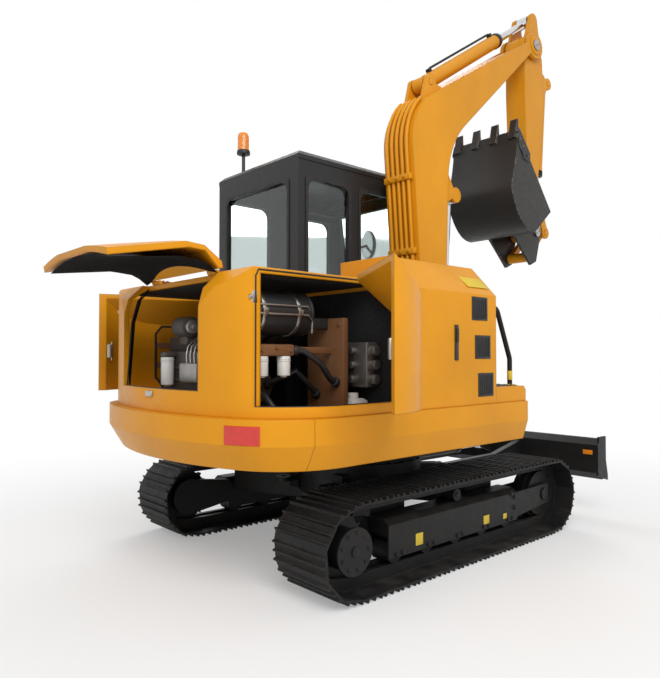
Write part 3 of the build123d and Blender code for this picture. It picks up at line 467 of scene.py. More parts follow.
# Deck, counterweight and skirts: the deck is black, and the cast tail and the side skirts wear the
# machine's amber-yellow enamel, with scuffs on the lower edge and a red reflector on the right corner.
dress(black_enamel, "platform")
yellow_enamel = coated(
    "yellow_enamel", (0.745, 0.308, 0.007, 1), 0.36, dust=(0.50, 0.27, 0.06, 1), reach=1.2, strength=0.15,
    bare=(0.30, 0.19, 0.06, 1), amount=0.25, width=0.012, grain=0.02, shine=0.22,
)
dress(yellow_enamel, "counterweight", "skirt_left", "skirt_right")
red_lens = lens("red_lens", (0.62, 0.022, 0.012, 1), 0.15)
CORNER_X, CORNER_Y, CORNER_RADIUS = -1098, -518, 454
corner_reflector = bmesh.new()
columns = []
for step in range(13):
    angle = radians(198 + 23 * step / 12)
    columns.append(
        [
            corner_reflector.verts.new(
                spot(CORNER_X + reach * cos(angle), CORNER_Y + reach * sin(angle), height)
            )
            for reach, height in (
                (CORNER_RADIUS - 2, 804), (CORNER_RADIUS + 5, 807),
                (CORNER_RADIUS + 5, 893), (CORNER_RADIUS - 2, 896),
            )
        ]
    )
for near, far in zip(columns, columns[1:]):
    for index in range(4):
        corner_reflector.faces.new((near[index], far[index], far[index - 3], near[index - 3]))
corner_reflector.faces.new(columns[0])
corner_reflector.faces.new(columns[-1][::-1])
piece("corner_reflector", corner_reflector, red_lens, "house")

# Engine cover: pressed steel panels in amber-yellow enamel, with rubber beads around the side and
# rear openings and black four-bolt hinges on the pillars.
dress(yellow_enamel, "engine_cover", "door_left", "door_right", "hood")


def skin(mesh, near, far):
    """Faces between two rings of as many points."""
    for index in range(len(near)):
        mesh.faces.new((near[index - 1], near[index], far[index], far[index - 1]))


def tube(mesh, points, radius, sides=10, closed=False):
    """A round tube through points, with closed ends."""
    rings = []
    count = len(points)
    across = None
    for index, point in enumerate(points):
        ahead = points[(index + 1) % count] if closed or index + 1 < count else point
        behind = points[index - 1] if closed or index else point
        direction = (ahead - behind).normalized()
        if across is None:
            across = direction.orthogonal().normalized()
        across = (across - direction * across.dot(direction)).normalized()
        other = direction.cross(across)
        ring = []
        for side in range(sides):
            angle = 2 * pi * side / sides
            ring.append(mesh.verts.new(point + radius * (cos(angle) * across + sin(angle) * other)))
        rings.append(ring)
    pairs = list(zip(rings, rings[1:]))
    if closed:
        pairs.append((rings[-1], rings[0]))
    for near, far in pairs:
        skin(mesh, near, far)
    if not closed:
        mesh.faces.new(rings[0])
        mesh.faces.new(rings[-1][::-1])


def plain(name, colour, roughness, scale, depth, darker=0.5, metal=0.0):
    """A through-coloured material with a fine mottle and grain."""
    made = bpy.data.materials.new(name)
    made.use_nodes = True
    tree = made.node_tree
    shader = tree.nodes["Principled BSDF"]
    shader.inputs["Metallic"].default_value = metal
    mottle = noise_node(tree, scale, 4.0)
    dark = (darker * colour[0], darker * colour[1], darker * colour[2], 1)
    share = range_node(tree, mottle, 0.3, 0.75, 0.0, 0.6)
    tree.links.new(mix_node(tree, share, colour, dark), shader.inputs["Base Color"])
    rough = range_node(tree, mottle, 0.3, 0.7, roughness - 0.07, roughness + 0.1)
    tree.links.new(rough, shader.inputs["Roughness"])
    relief = tree.nodes.new("ShaderNodeBump")
    relief.inputs["Strength"].default_value = depth
    relief.inputs["Distance"].default_value = 0.002
    tree.links.new(noise_node(tree, 12 * scale, 2.0), relief.inputs["Height"])
    tree.links.new(relief.outputs["Normal"], shader.inputs["Normal"])
    return made


rubber = plain("black_rubber", (0.014, 0.014, 0.014, 1), 0.62, 18.0, 0.15)
DOOR_FRONT, DOOR_BOTTOM, DOOR_EDGE_Y = -675, 980, 745
TAIL_X, TAIL_RADIUS, TAIL_Y = -1048, 440, 506


def side_bead(side):
    """The middle line of a side opening's edge, from the hinge pillar round by the sill."""
    line = [(DOOR_FRONT, 946, height) for height in range(1420, 1039, -40)]
    line += [(DOOR_FRONT, 946, height) for height in (1020, 1000, 988)]
    line += [(DOOR_FRONT - 2, 946, DOOR_BOTTOM + 3)]
    line += [(x, 946, DOOR_BOTTOM) for x in range(-690, -1040, -50)]
    for step in range(12):
        angle = radians(90 + 57 * step / 11)
        line.append((TAIL_X + TAIL_RADIUS * cos(angle), TAIL_Y + TAIL_RADIUS * sin(angle), DOOR_BOTTOM))
    line += [(-1417, DOOR_EDGE_Y, height) for height in range(1000, 1621, 60)]
    line += [(x, DOOR_EDGE_Y, 1632) for x in range(-1400, -690, 60)]
    line += [(DOOR_FRONT, y, height) for y, height in ((760, 1622), (830, 1563), (900, 1504), (938, 1464))]
    return [spot(x, side * y, z) for x, y, z in line]


HOOD_HALF, HOOD_BOTTOM = 430, 1045


def rear_lean(height):
    """How far the rear panel leans forward at a height, in millimetres."""
    if height < 1420:
        return 35 * (height - 925) / 495
    if height < 1560:
        return 35 + 40 * (height - 1420) / 140
    return 75 + 90 * (height - 1560) / 86


def rear_panel(y, height, inset=0):
    """The rear panel's X at a place, for the outer face or a face further in."""
    radius, centre = (1951, 361) if inset < 20 else (1794, 232)
    return centre - (radius**2 - y**2) ** 0.5 + rear_lean(height) + inset * (inset < 20)


foam = plain("sound_foam", (0.012, 0.012, 0.0125, 1), 0.9, 60.0, 0.6)
# Dark foam sheets on the bay's front wall, under its roof and on the inner side of the rear panel: painted
# shade, a dark lining where the inside of the bay lies in shade.
shade_liners = bmesh.new()
block(shade_liners, spot(-588, 0, 1165), (0.006, 1.820, 0.850), rounding=0.002)
block(shade_liners, spot(-985, 0, 1612), (0.760, 1.440, 0.006), rounding=0.002)


def shade_liner(ys, heights):
    """A dark foam sheet against the inner side of the rear panel: painted shade on the bay's shadowed inner
    wall.
    """
    rows = []
    for height in heights:
        rows.append([shade_liners.verts.new(spot(rear_panel(y, height, 28) + 4, y, height)) for y in ys])
    for low, high in zip(rows, rows[1:]):
        for index in range(len(ys) - 1):
            shade_liners.faces.new((low[index], low[index + 1], high[index + 1], high[index]))


for side in (1, -1):
    shade_liner([side * y for y in (436, 480, 530, 580, 625)], (930, 1040, 1420, 1500, 1560, 1600))
shade_liner(range(-430, 431, 86), (930, 980, 1040))
piece("bay_shade_liners", shade_liners, foam, "house")
hood_edge = [(HOOD_HALF, height) for height in range(1630, 1060, -40)]
hood_edge += [(HOOD_HALF, HOOD_BOTTOM + 12), (HOOD_HALF - 4, HOOD_BOTTOM + 4), (HOOD_HALF - 12, HOOD_BOTTOM)]
hood_edge += [(y, HOOD_BOTTOM) for y in range(360, -1, -90)]
hood_edge += [(-y, height) for y, height in hood_edge[-2::-1]]
beads = bmesh.new()
for side in (1, -1):
    tube(beads, side_bead(side), 0.0045)
tube(beads, [spot(rear_panel(y, height, 14), y, height) for y, height in hood_edge], 0.0045)
piece("opening_beads", beads, rubber, "house")
HINGE_X, HINGE_ZS = -668, (1110, 1330)
hinge_plates = bmesh.new()
for side in (1, -1):
    for hinge_z in HINGE_ZS:
        block(hinge_plates, spot(HINGE_X + 46, side * 971.5, hinge_z), (0.066, 0.004, 0.062), rounding=0.002)
        for along, rise in ((30, -18), (30, 18), (64, -18), (64, 18)):
            bolt(hinge_plates, spot(HINGE_X + along, side * 973, hinge_z + rise), (0, side, 0), 0.006, 0.006)
piece("pillar_hinges", hinge_plates, black_enamel, "house")
latches = bmesh.new()
for side in (1, -1):
    block(latches, spot(-1421, side * 735, 1500), (0.030, 0.022, 0.060), rounding=0.004)
    disc(latches, spot(-1436, side * 735, 1500), (-1, 0, 0), 0.011, 0.010)
block(latches, spot(rear_panel(0, 1020) - 4, 0, 1016), (0.016, 0.070, 0.030), rounding=0.004)
piece("cover_latches", latches, plated_steel, "house")

# Rear hood: its inner side carries a pad of dark sound-deadening foam, and two bolted hinge blocks
# hold it to the top of the cover. It stands open.
HOOD_OPEN = 79
hood_turn = (
    Matrix.Translation(spot(-1377, 0, 1660)) @ Matrix.Rotation(radians(HOOD_OPEN), 4, "Y")
    @ Matrix.Translation(-spot(-1377, 0, 1660))
)
hood_pad = bmesh.new()
pad_rows = []
for row in range(14):
    height = 1075 + 550 * row / 13
    swell = 12 if 0 < row < 13 else 1
    pad_rows.append([])
    for column in range(15):
        y = -405 + 810 * column / 14
        rise = swell if 0 < column < 14 else 1
        place = spot(rear_panel(y, height, 28) + 3 + rise, y, height)
        pad_rows[-1].append(hood_pad.verts.new(hood_turn @ place))
for low, high in zip(pad_rows, pad_rows[1:]):
    for column in range(14):
        hood_pad.faces.new((low[column], low[column + 1], high[column + 1], high[column]))
bmesh.ops.solidify(hood_pad, geom=hood_pad.faces[:], thickness=-0.003)
piece("hood_foam", hood_pad, foam, "hood")
brown_primer = coated("brown_primer", (0.20, 0.085, 0.030, 1), 0.55, strength=0.3, amount=0.5, width=0.003)
hood_blocks = bmesh.new()
for hinge_y in (-320, 320):
    block(hood_blocks, spot(-1332, hinge_y, 1661), (0.056, 0.050, 0.012), rounding=0.003)
    for along in (-14, 14):
        bolt(hood_blocks, spot(-1332 + along, hinge_y, 1667), (0, 0, 1), 0.007, 0.007)
piece("hood_hinge_blocks", hood_blocks, brown_primer, "house")

# Engine doors: each pressed leaf has a rubber seal around its inner side, three perforated yellow
# guard bands with brown stiffeners between them, and a plated latch at its free edge.
SEAL_LOOP = ((-700, 1010), (-1035, 1010), (-1035, 1430), (-700, 1430))
DOOR_TURNS = {}
for side, hand, opened in ((1, "left", 19), (-1, "right", 57)):
    hinge = spot(HINGE_X, side * 974, 0)
    DOOR_TURNS[hand] = (
        Matrix.Translation(hinge) @ Matrix.Rotation(radians(-side * opened), 4, "Z")
        @ Matrix.Translation(-hinge)
    )
HOLE_PITCH = 14
HOLE_RADIUS = 4.6


def perforated_band(mesh, turn, side, low, high):
    """A sheet with rows of round holes, on the inner side of a door."""
    columns = int(320 / HOLE_PITCH)
    rows = int((high - low) / HOLE_PITCH)
    for column in range(columns):
        for row in range(rows):
            middle_x = -705 - HOLE_PITCH * (column + 0.5)
            middle_z = low + HOLE_PITCH * (row + 0.5)
            outer, inner = [], []
            for step in range(8):
                angle = pi * step / 4
                stretch = HOLE_PITCH / 2 / max(abs(cos(angle)), abs(sin(angle)))
                for ring, reach in ((outer, stretch), (inner, HOLE_RADIUS)):
                    place = spot(middle_x + reach * cos(angle), side * 927, middle_z + reach * sin(angle))
                    ring.append(mesh.verts.new(turn @ place))
            for step in range(8):
                mesh.faces.new((outer[step - 1], outer[step], inner[step], inner[step - 1]))


for side, hand in ((1, "left"), (-1, "right")):
    turn = DOOR_TURNS[hand]
    body = f"door_{hand}"
    seal = bmesh.new()
    loop = []
    for (start_x, start_z), (end_x, end_z) in zip(SEAL_LOOP, SEAL_LOOP[1:] + SEAL_LOOP[:1]):
        for step in range(1, 8):
            share = step / 8
            along_x = start_x + share * (end_x - start_x)
            along_z = start_z + share * (end_z - start_z)
            loop.append(turn @ spot(along_x, side * 929, along_z))
    tube(seal, loop, 0.008, closed=True)
    piece(f"door_seal_{hand}", seal, rubber, body)
    bands = bmesh.new()
    for low, high in ((1030, 1128), (1172, 1270), (1314, 1412)):
        perforated_band(bands, turn, side, low, high)
    bmesh.ops.remove_doubles(bands, verts=bands.verts, dist=0.0004)
    bmesh.ops.solidify(bands, geom=bands.faces[:], thickness=0.0015)
    piece(f"guard_bands_{hand}", bands, yellow_enamel, body)
    stiffeners = bmesh.new()
    stiffener_turn = turn.to_3x3().to_4x4()
    for middle in (1150, 1292):
        block(stiffeners, turn @ spot(-865, side * 928, middle), (0.325, 0.007, 0.038), stiffener_turn)
    piece(f"door_stiffeners_{hand}", stiffeners, brown_primer, body)
    catch = bmesh.new()
    block(catch, turn @ spot(-1362, side * 766, 1250), (0.030, 0.045, 0.090), stiffener_turn, 0.005)
    block(catch, turn @ spot(-1345, side * 790, 1250), (0.012, 0.030, 0.130), stiffener_turn, 0.004)
    piece(f"door_latch_{hand}", catch, plated_steel, body)

# Engine: a cast-iron block with its head, ribbed sides, rounded valve cover, alternator, belt, bell
# housing and pump. It fills the bay across the machine; its coat is near black, with dust settled on it.
engine_iron = coated(
    "engine_iron", (0.060, 0.050, 0.042, 1), 0.52, dust=(0.17, 0.125, 0.085, 1), reach=1.8, strength=0.5,
    bare=(0.22, 0.19, 0.16, 1), amount=0.45, width=0.004, grain=0.3,
)
ENGINE_X, ENGINE_Y = -1150, 60
engine_core = bmesh.new()
for middle, size in (
    ((-1050, ENGINE_Y, 840), (0.300, 0.400, 0.212)), ((ENGINE_X, ENGINE_Y, 1095), (0.410, 0.560, 0.300)),
    ((ENGINE_X, ENGINE_Y, 1287), (0.300, 0.540, 0.088)),
    ((ENGINE_X - 170, ENGINE_Y + 20, 1320), (0.050, 0.090, 0.080)),
    ((ENGINE_X - 242, ENGINE_Y + 97, 1227), (0.080, 0.074, 0.030)),
):
    block(engine_core, spot(*middle), size, rounding=0.012)
for rib_z in (1010, 1080, 1150):
    block(engine_core, spot(ENGINE_X, ENGINE_Y, rib_z), (0.424, 0.500, 0.016), rounding=0.004)
for x, z, low_y, high_y, radius in (
    (ENGINE_X, 1090, -290, -215, 160), (ENGINE_X, 1060, -400, -285, 95), (ENGINE_X - 175, 1385, 15, 145, 60),
):
    disc(engine_core, spot(x, high_y, z), (0, -1, 0), radius / 1000, (high_y - low_y) / 1000)
for turn in range(12):
    angle = pi * turn / 6
    place = spot(ENGINE_X + 143 * cos(angle), -290, 1090 + 143 * sin(angle))
    bolt(engine_core, place, (0, -1, 0), 0.008, 0.008)
engine_piece = piece("engine_block", engine_core, engine_iron, "house")
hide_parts("engine")
silver_alloy = coated(
    "cast_alloy", (0.36, 0.35, 0.33, 1), 0.42, dust=(0.2, 0.16, 0.12, 1), reach=1.8, strength=0.35,
    amount=0.2, width=0.002, grain=0.2, metal=0.85,
)
alloy = bmesh.new()
block(alloy, spot(ENGINE_X, ENGINE_Y, 1366), (0.200, 0.500, 0.076), rounding=0.028)
disc(alloy, spot(ENGINE_X, 210, 1402), (0, 0, 1), 0.034, 0.022)
for along_y in (-160, -20, 120, 260):
    for offset in (-86, 86):
        bolt(alloy, spot(ENGINE_X + offset, along_y, 1390), (0, 0, 1), 0.007, 0.014)
for pulley_z, radius in ((1050, 85), (1230, 60)):
    disc(alloy, spot(ENGINE_X, 338, pulley_z), (0, 1, 0), radius / 1000, 0.040, 0.96)
disc(alloy, spot(ENGINE_X - 175, 14, 1385), (0, -1, 0), 0.044, 0.026, 0.92)
disc(alloy, spot(ENGINE_X - 175, -10, 1385), (0, -1, 0), 0.016, 0.014)
block(alloy, spot(-1375, -80, 1125), (0.060, 0.190, 0.110), rounding=0.012)
piece("engine_covers", alloy, silver_alloy, "house")
lines = bmesh.new()
for index in range(4):
    line_y = -150 + 42 * index
    tube(
        lines,
        [spot(-1375, line_y, 1178), spot(-1378, line_y, 1225), spot(-1366, line_y + 8, 1270),
         spot(-1330, line_y + 14, 1303), spot(-1296, line_y + 16, 1306)],
        0.0045,
    )
for turn_y, turn_z in ((-676, 1475), (-682, 1430)):
    tube(
        lines,
        [spot(-1425, turn_y + 60, turn_z - 90), spot(-1418, turn_y + 8, turn_z - 24)]
        + [spot(x, turn_y, turn_z) for x in (-1390, *range(-1340, -1020, 60))]
        + [spot(-1000, turn_y + 14, turn_z - 30), spot(-990, turn_y + 30, turn_z - 90)],
        0.006,
    )
intake = ((-985, -180, 1290), (-975, -60, 1292), (-975, 60, 1292), (-985, 300, 1290))
tube(lines, [spot(*place) for place in intake], 0.026)
piece("engine_tubes", lines, plated_steel, "house")
belt = bmesh.new()
belt_line = []
for first, belt_radius, belt_z in ((0, 64, 1230), (180, 89, 1050)):
    for turn in range(first, first + 181, 15):
        angle = radians(turn)
        belt_line.append(spot(ENGINE_X + belt_radius * cos(angle), 360, belt_z + belt_radius * sin(angle)))
tube(belt, belt_line, 0.007, closed=True)
piece("fan_belt", belt, rubber, "house")

# Radiator: a black steel core. A moulded shroud ring stands on its rear side, with a seven-bladed
# fan in it.
dress(black_enamel, "radiator")
black_moulding = plain("black_moulding", (0.016, 0.016, 0.017, 1), 0.5, 25.0, 0.2)
fan = bmesh.new()
ring_low, ring_high = [], []
for turn in range(48):
    angle = 2 * pi * turn / 48
    around = Vector((0, cos(angle), sin(angle)))
    for reach, group in ((0.222, ring_low), (0.240, ring_high)):
        for x in (-850, -800):
            group.append(fan.verts.new(spot(x, 260, 1150) + reach * around))
for turn in range(0, 96, 2):
    after = (turn + 2) % 96
    fan.faces.new((ring_low[turn], ring_low[after], ring_low[after + 1], ring_low[turn + 1]))
    fan.faces.new((ring_high[turn], ring_high[turn + 1], ring_high[after + 1], ring_high[after]))
    fan.faces.new((ring_low[turn], ring_high[turn], ring_high[after], ring_low[after]))
for blade in range(7):
    spin = Matrix.Rotation(2 * pi * blade / 7, 4, "X")
    spin = spin @ Matrix.Translation((0, 0, 0.135)) @ Matrix.Rotation(0.6, 4, "Z")
    block(fan, spot(-825, 260, 1150), (0.006, 0.085, 0.150), spin, 0.002)
disc(fan, spot(-805, 260, 1150), (-1, 0, 0), 0.066, 0.045, 0.9)
piece("radiator_fan", fan, black_moulding, "house")

# Filters and partition: a brown primed plate carries the filter head on an arm, with two white
# spin-on filters under it, and a third white filter hangs from the engine's rear.
brackets = bmesh.new()
FILTER_HEAD = (-1230, -630, 1249)
block(brackets, spot(-800, -560, 1080), (0.040, 0.300, 0.690), rounding=0.006)
block(brackets, spot(*FILTER_HEAD), (0.240, 0.060, 0.060), rounding=0.012)
block(brackets, spot(-1025, -611, 1249), (0.412, 0.018, 0.036), rounding=0.004)
for bolt_x, bolt_z in ((-1320, 1249), (-1140, 1249), (-1230, 1262)):
    bolt(brackets, spot(bolt_x, -660, bolt_z), (0, -1, 0), 0.009, 0.009)
for bolt_y, bolt_z in ((-680, 800), (-680, 1100), (-680, 1390), (-440, 1390)):
    bolt(brackets, spot(-820, bolt_y, bolt_z), (-1, 0, 0), 0.010, 0.009)
bracket_piece = piece("filter_partition", brackets, brown_primer, "house")
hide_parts("fuel_filters")
white_can = coated(
    "white_can", (0.74, 0.74, 0.71, 1), 0.32, dust=(0.32, 0.26, 0.19, 1), reach=1.6, strength=0.35,
    amount=0.1, width=0.003, grain=0.02,
)
cans = bmesh.new()
for x, y, top, radius, height in (
    (-1300, -630, 1219, 34, 100), (-1160, -630, 1219, 34, 100), (-1400, 157, 1212, 37, 160),
):
    disc(cans, spot(x, y, top), (0, 0, -1), radius / 1000, height / 1000, 0.98)
    disc(cans, spot(x, y, top - height + 2), (0, 0, -1), 0.5 * radius / 1000, 0.010)
    for band in (14, 22):
        disc(cans, spot(x, y, top - band), (0, 0, -1), 1.05 * radius / 1000, 0.005)
piece("white_filters", cans, white_can, "house")
milky = plain("milky_plastic", (0.80, 0.80, 0.76, 1), 0.38, 9.0, 0.06, 0.86)
bottle = bmesh.new()
block(bottle, spot(-690, -650, 860), (0.120, 0.160, 0.250), rounding=0.030)
disc(bottle, spot(-690, -650, 984), (0, 0, 1), 0.032, 0.030)
piece("white_reservoir", bottle, milky, "house")
valves = bmesh.new()
block(valves, spot(-628, -660, 1170), (0.090, 0.170, 0.250), rounding=0.010)
for spool_z in (1090, 1170, 1250):
    disc(valves, spot(-633, -745, spool_z), (0, -1, 0), 0.028, 0.042)
    disc(valves, spot(-673, -640, spool_z), (-1, 0, 0), 0.020, 0.030)
piece("valve_block", valves, silver_alloy, "house")

# Air cleaner: a moulded black drum lying along the right side of the bay, held by two steel straps,
# with an intake elbow that runs to the engine.
drum = bmesh.new()
disc(drum, spot(-1415, -560, 1440), (1, 0, 0), 0.115, 0.430)
for lid_x in (-1418, -1380, -1010):
    disc(drum, spot(lid_x, -560, 1440), (1, 0, 0), 0.118, 0.018)
block(drum, spot(-922, -560, 1395), (0.206, 0.060, 0.060), rounding=0.006)
tube(
    drum,
    [spot(-990, -510, 1465), spot(-950, -500, 1467), spot(-925, -460, 1462), spot(-935, -400, 1440),
     spot(-985, -330, 1390), spot(-1030, -260, 1330), spot(-1060, -214, 1296)],
    0.036, 20,
)
drum_piece = piece("air_drum", drum, black_moulding, "house")
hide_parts("air_cleaner")
straps = bmesh.new()
for strap_x in (-1323, -1103):
    disc(straps, spot(strap_x, -560, 1440), (1, 0, 0), 0.1195, 0.026)
    block(straps, spot(strap_x + 13, -682, 1440), (0.030, 0.012, 0.034), rounding=0.003)
piece("drum_straps", straps, plated_steel, "house")
pipes = bmesh.new()
for line in (
    ((-1110, -640, 1249), (-1050, -655, 1245), (-960, -690, 1180), (-880, -675, 1095), (-822, -660, 1073)),
    ((-1100, -398, 1060), (-1085, -470, 1090), (-1010, -540, 1140), (-900, -520, 1060), (-822, -500, 1000)),
    ((-1195, -398, 1060), (-1195, -480, 1040), (-1180, -560, 960), (-1100, -592, 850), (-1050, -590, 740)),
):
    tube(pipes, [spot(*place) for place in line], 0.017, 14)
    for end, near in ((line[0], line[1]), (line[-1], line[-2])):
        disc(pipes, spot(*end), spot(*near) - spot(*end), 0.026, 0.030)
piece("bay_pipes", pipes, black_moulding, "house")

# Right-hand box: yellow sheet steel ahead of the engine, with three louvred panels, a black pull
# handle, and a blank label on its shoulder.
dress(yellow_enamel, "right_box", "step_box")
louvres = bmesh.new()
for panel_x, panel_z in ((75, 1503), (105, 1272), (135, 1044)):
    block(louvres, spot(panel_x, -961, panel_z), (0.158, 0.006, 0.142), rounding=0.0025)
    for slat in range(7):
        block(louvres, spot(panel_x - 60 + 20 * slat, -965, panel_z), (0.008, 0.006, 0.120), rounding=0.002)
block(louvres, spot(-157, -963, 1296), (0.034, 0.008, 0.206), rounding=0.004)
block(louvres, spot(-157, -968, 1340), (0.022, 0.016, 0.080), rounding=0.005)
piece("box_louvres", louvres, black_moulding, "house")
label_turn = Matrix.Rotation(-0.8125, 4, "X")
label = bmesh.new()
block(label, spot(120, -868, 1688), (0.215, 0.0012, 0.150), label_turn, 0.0004)
piece("blank_label", label, tag_yellow, "house")
treads = bmesh.new()
block(treads, spot(405, -700, 1026), (0.290, 0.440, 0.005), rounding=0.002)
for row in range(6):
    for column in range(9):
        disc(treads, spot(290 + 46 * row, -890 + 47 * column, 1028), (0, 0, 1), 0.010, 0.004, 0.7, 12)
piece("step_tread", treads, black_enamel, "house")

# Handrail: a bent steel tube in black enamel from the box to the step, where it stands on a round
# foot. It has a yellow band near its lower end.
dress(black_enamel, "handrail")
band = bmesh.new()
disc(band, spot(540, -870, 1060), (0, 0, 1), 0.0172, 0.060, 1.0, 24)
disc(band, spot(540, -870, 1024), (0, 0, 1), 0.034, 0.008)
piece("rail_band", band, tag_yellow, "house")

# Cab: a charcoal steel frame, roof and door. Rubber glazing frames with round corners hold the
# tinted glass, and the door has a pull handle.
cab_enamel = coated(
    "cab_enamel", (0.017, 0.018, 0.020, 1), 0.36, dust=(0.2, 0.17, 0.13, 1), reach=1.6, strength=0.25,
    bare=(0.09, 0.09, 0.09, 1), amount=0.25, width=0.006, grain=0.05, shine=0.3,
)
dress(cab_enamel, "cab_frame", "cab_roof", "cab_door")
glass = bpy.data.materials.new("tinted_glass")
glass.use_nodes = True
pane = glass.node_tree.nodes["Principled BSDF"]
pane.inputs["Base Color"].default_value = (0.74, 0.80, 0.79, 1)
pane.inputs["Transmission Weight"].default_value = 1.0
pane.inputs["IOR"].default_value = 1.45
film = range_node(glass.node_tree, noise_node(glass.node_tree, 3.0, 5.0), 0.4, 0.8, 0.01, 0.09)
glass.node_tree.links.new(film, pane.inputs["Roughness"])
dress(glass, "cab_glass", "cab_door_glass")


def round_corners(width, height, radius):
    """Points around a rectangle with rounded corners."""
    points = []
    for corner, (sign_u, sign_v) in enumerate(((1, 1), (-1, 1), (-1, -1), (1, -1))):
        for step in range(7):
            angle = radians(90 * corner + 15 * step)
            u = sign_u * (width / 2 - radius) + radius * cos(angle)
            v = sign_v * (height / 2 - radius) + radius * sin(angle)
            points.append((u, v))
    return points


def glazing(mesh, middle, along, width, height, depth):
    """A rubber frame with rounded inner corners, set on a square window opening."""
    outer = round_corners(width + 36, height + 36, 30)
    inner = round_corners(width - 8, height - 8, 70)
    rings = []
    for outline in (outer, inner):
        for level in (0, depth):
            ring = []
            for u, v in outline:
                offset = (u, level, v) if along == "x" else (level, u, v)
                ring.append(mesh.verts.new(spot(*(m + o for m, o in zip(middle, offset)))))
            rings.append(ring)
    low_outer, high_outer, low_inner, high_inner = rings
    around = (low_outer, high_outer, high_inner, low_inner, low_outer)
    for near, far in zip(around, around[1:]):
        skin(mesh, near, far)


seals = bmesh.new()
for side_y, depth in ((10.5, -7), (969.5, 7)):
    glazing(seals, (-280, side_y, 1980), "x", 380, 840, depth)
glazing(seals, (310, 10.5, 1800), "x", 580, 1200, -7)
glazing(seals, (-549.5, 490, 2050), "y", 740, 680, -7)
piece("cab_glazing", seals, rubber, "house")
door_seal = bmesh.new()
glazing(door_seal, (345, 969.5, 1860), "x", 418, 1028, 7)
block(door_seal, spot(585, 976, 1230), (0.040, 0.012, 0.130), rounding=0.004)
block(door_seal, spot(570, 986, 1250), (0.080, 0.014, 0.024), rounding=0.005)
piece("door_glazing", door_seal, rubber, "cab_door")

# Roof beacon: a moulded amber dome with fine ribs, on a black base and a stalk at the left rear of
# the roof.
beacon_lens = bmesh.new()
BEACON_X, BEACON_Y = -404, 860
profile = ((46, 2800), (46, 2900), (44, 2918), (38, 2932), (26, 2941), (0.6, 2944))
rings = []
for radius, height in profile:
    ring = []
    for turn in range(32):
        angle = pi * turn / 16
        place = spot(BEACON_X + radius * cos(angle), BEACON_Y + radius * sin(angle), height)
        ring.append(beacon_lens.verts.new(place))
    rings.append(ring)
for low, high in zip(rings, rings[1:]):
    skin(beacon_lens, low, high)
beacon_lens.faces.new(rings[0])
beacon_lens.faces.new(rings[-1])
dome = piece("beacon_dome", beacon_lens, amber_lens, "house")
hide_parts("beacon")
foot = bmesh.new()
disc(foot, spot(BEACON_X, BEACON_Y, 2579), (0, 0, 1), 0.013, 0.195, 1.0, 20)
disc(foot, spot(BEACON_X, BEACON_Y, 2579), (0, 0, 1), 0.034, 0.010)
disc(foot, spot(BEACON_X, BEACON_Y, 2768), (0, 0, 1), 0.052, 0.034, 0.96)
piece("beacon_foot", foot, black_moulding, "house")

# Mirror: a black moulded shell around silvered glass, on a bent stalk at the left front post of the
# cab.
shell_mesh = bmesh.new()
stalk = (
    (693, 950, 2120), (740, 952, 2135), (800, 950, 2160),
    (850, 945, 2180), (920, 922, 2205), (985, 888, 2232),
)
tube(shell_mesh, [spot(*place) for place in stalk], 0.011, 12)


def oval(mesh, x, half_width, half_height):
    """A ring of points around the mirror's middle, at one X."""
    ring = []
    for turn in range(36):
        angle = pi * turn / 18
        ring.append(mesh.verts.new(spot(x, 880 + half_width * cos(angle), 2235 + half_height * sin(angle))))
    return ring


shell_rings = []
for x, share in ((975, 1.0), (1004, 1.0), (1018, 0.9), (1026, 0.6)):
    shell_rings.append(oval(shell_mesh, x, 75 * share, 130 * share))
for low, high in zip(shell_rings, shell_rings[1:]):
    skin(shell_mesh, low, high)
shell_mesh.faces.new(shell_rings[0])
shell_mesh.faces.new(shell_rings[-1])
piece("mirror_shell", shell_mesh, black_moulding, "house")
silvered = coated(
    "silvered_glass", (0.82, 0.84, 0.85, 1), 0.05, strength=0.1, amount=0.0, width=0.001, metal=1.0,
)
mirror_face = bmesh.new()
face_rings = [oval(mirror_face, x, 67, 121) for x in (974.8, 972.5)]
for ring in face_rings:
    mirror_face.faces.new(ring)
skin(mirror_face, *face_rings)
piece("mirror_face", mirror_face, silvered, "house")

# Seat: woven dark cloth over foam on a black suspension base, with two sewn channels in each pad.
# The consoles beside it are moulded, with a lever on each.
dress(black_moulding, "console")
cloth = plain("seat_cloth", (0.032, 0.032, 0.036, 1), 0.85, 90.0, 0.7)
seat_base = bmesh.new()
block(seat_base, spot(-100, 490, 800), (0.360, 0.340, 0.110), rounding=0.012)
for fold in range(6):
    fold_size = (0.340 - 0.02 * (fold % 2), 0.320, 0.036)
    block(seat_base, spot(-100, 490, 870 + 40 * fold), fold_size, rounding=0.012)
block(seat_base, spot(-100, 490, 1122), (0.440, 0.430, 0.030), rounding=0.008)
base_piece = piece("seat_base", seat_base, black_moulding, "house")
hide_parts("seat")


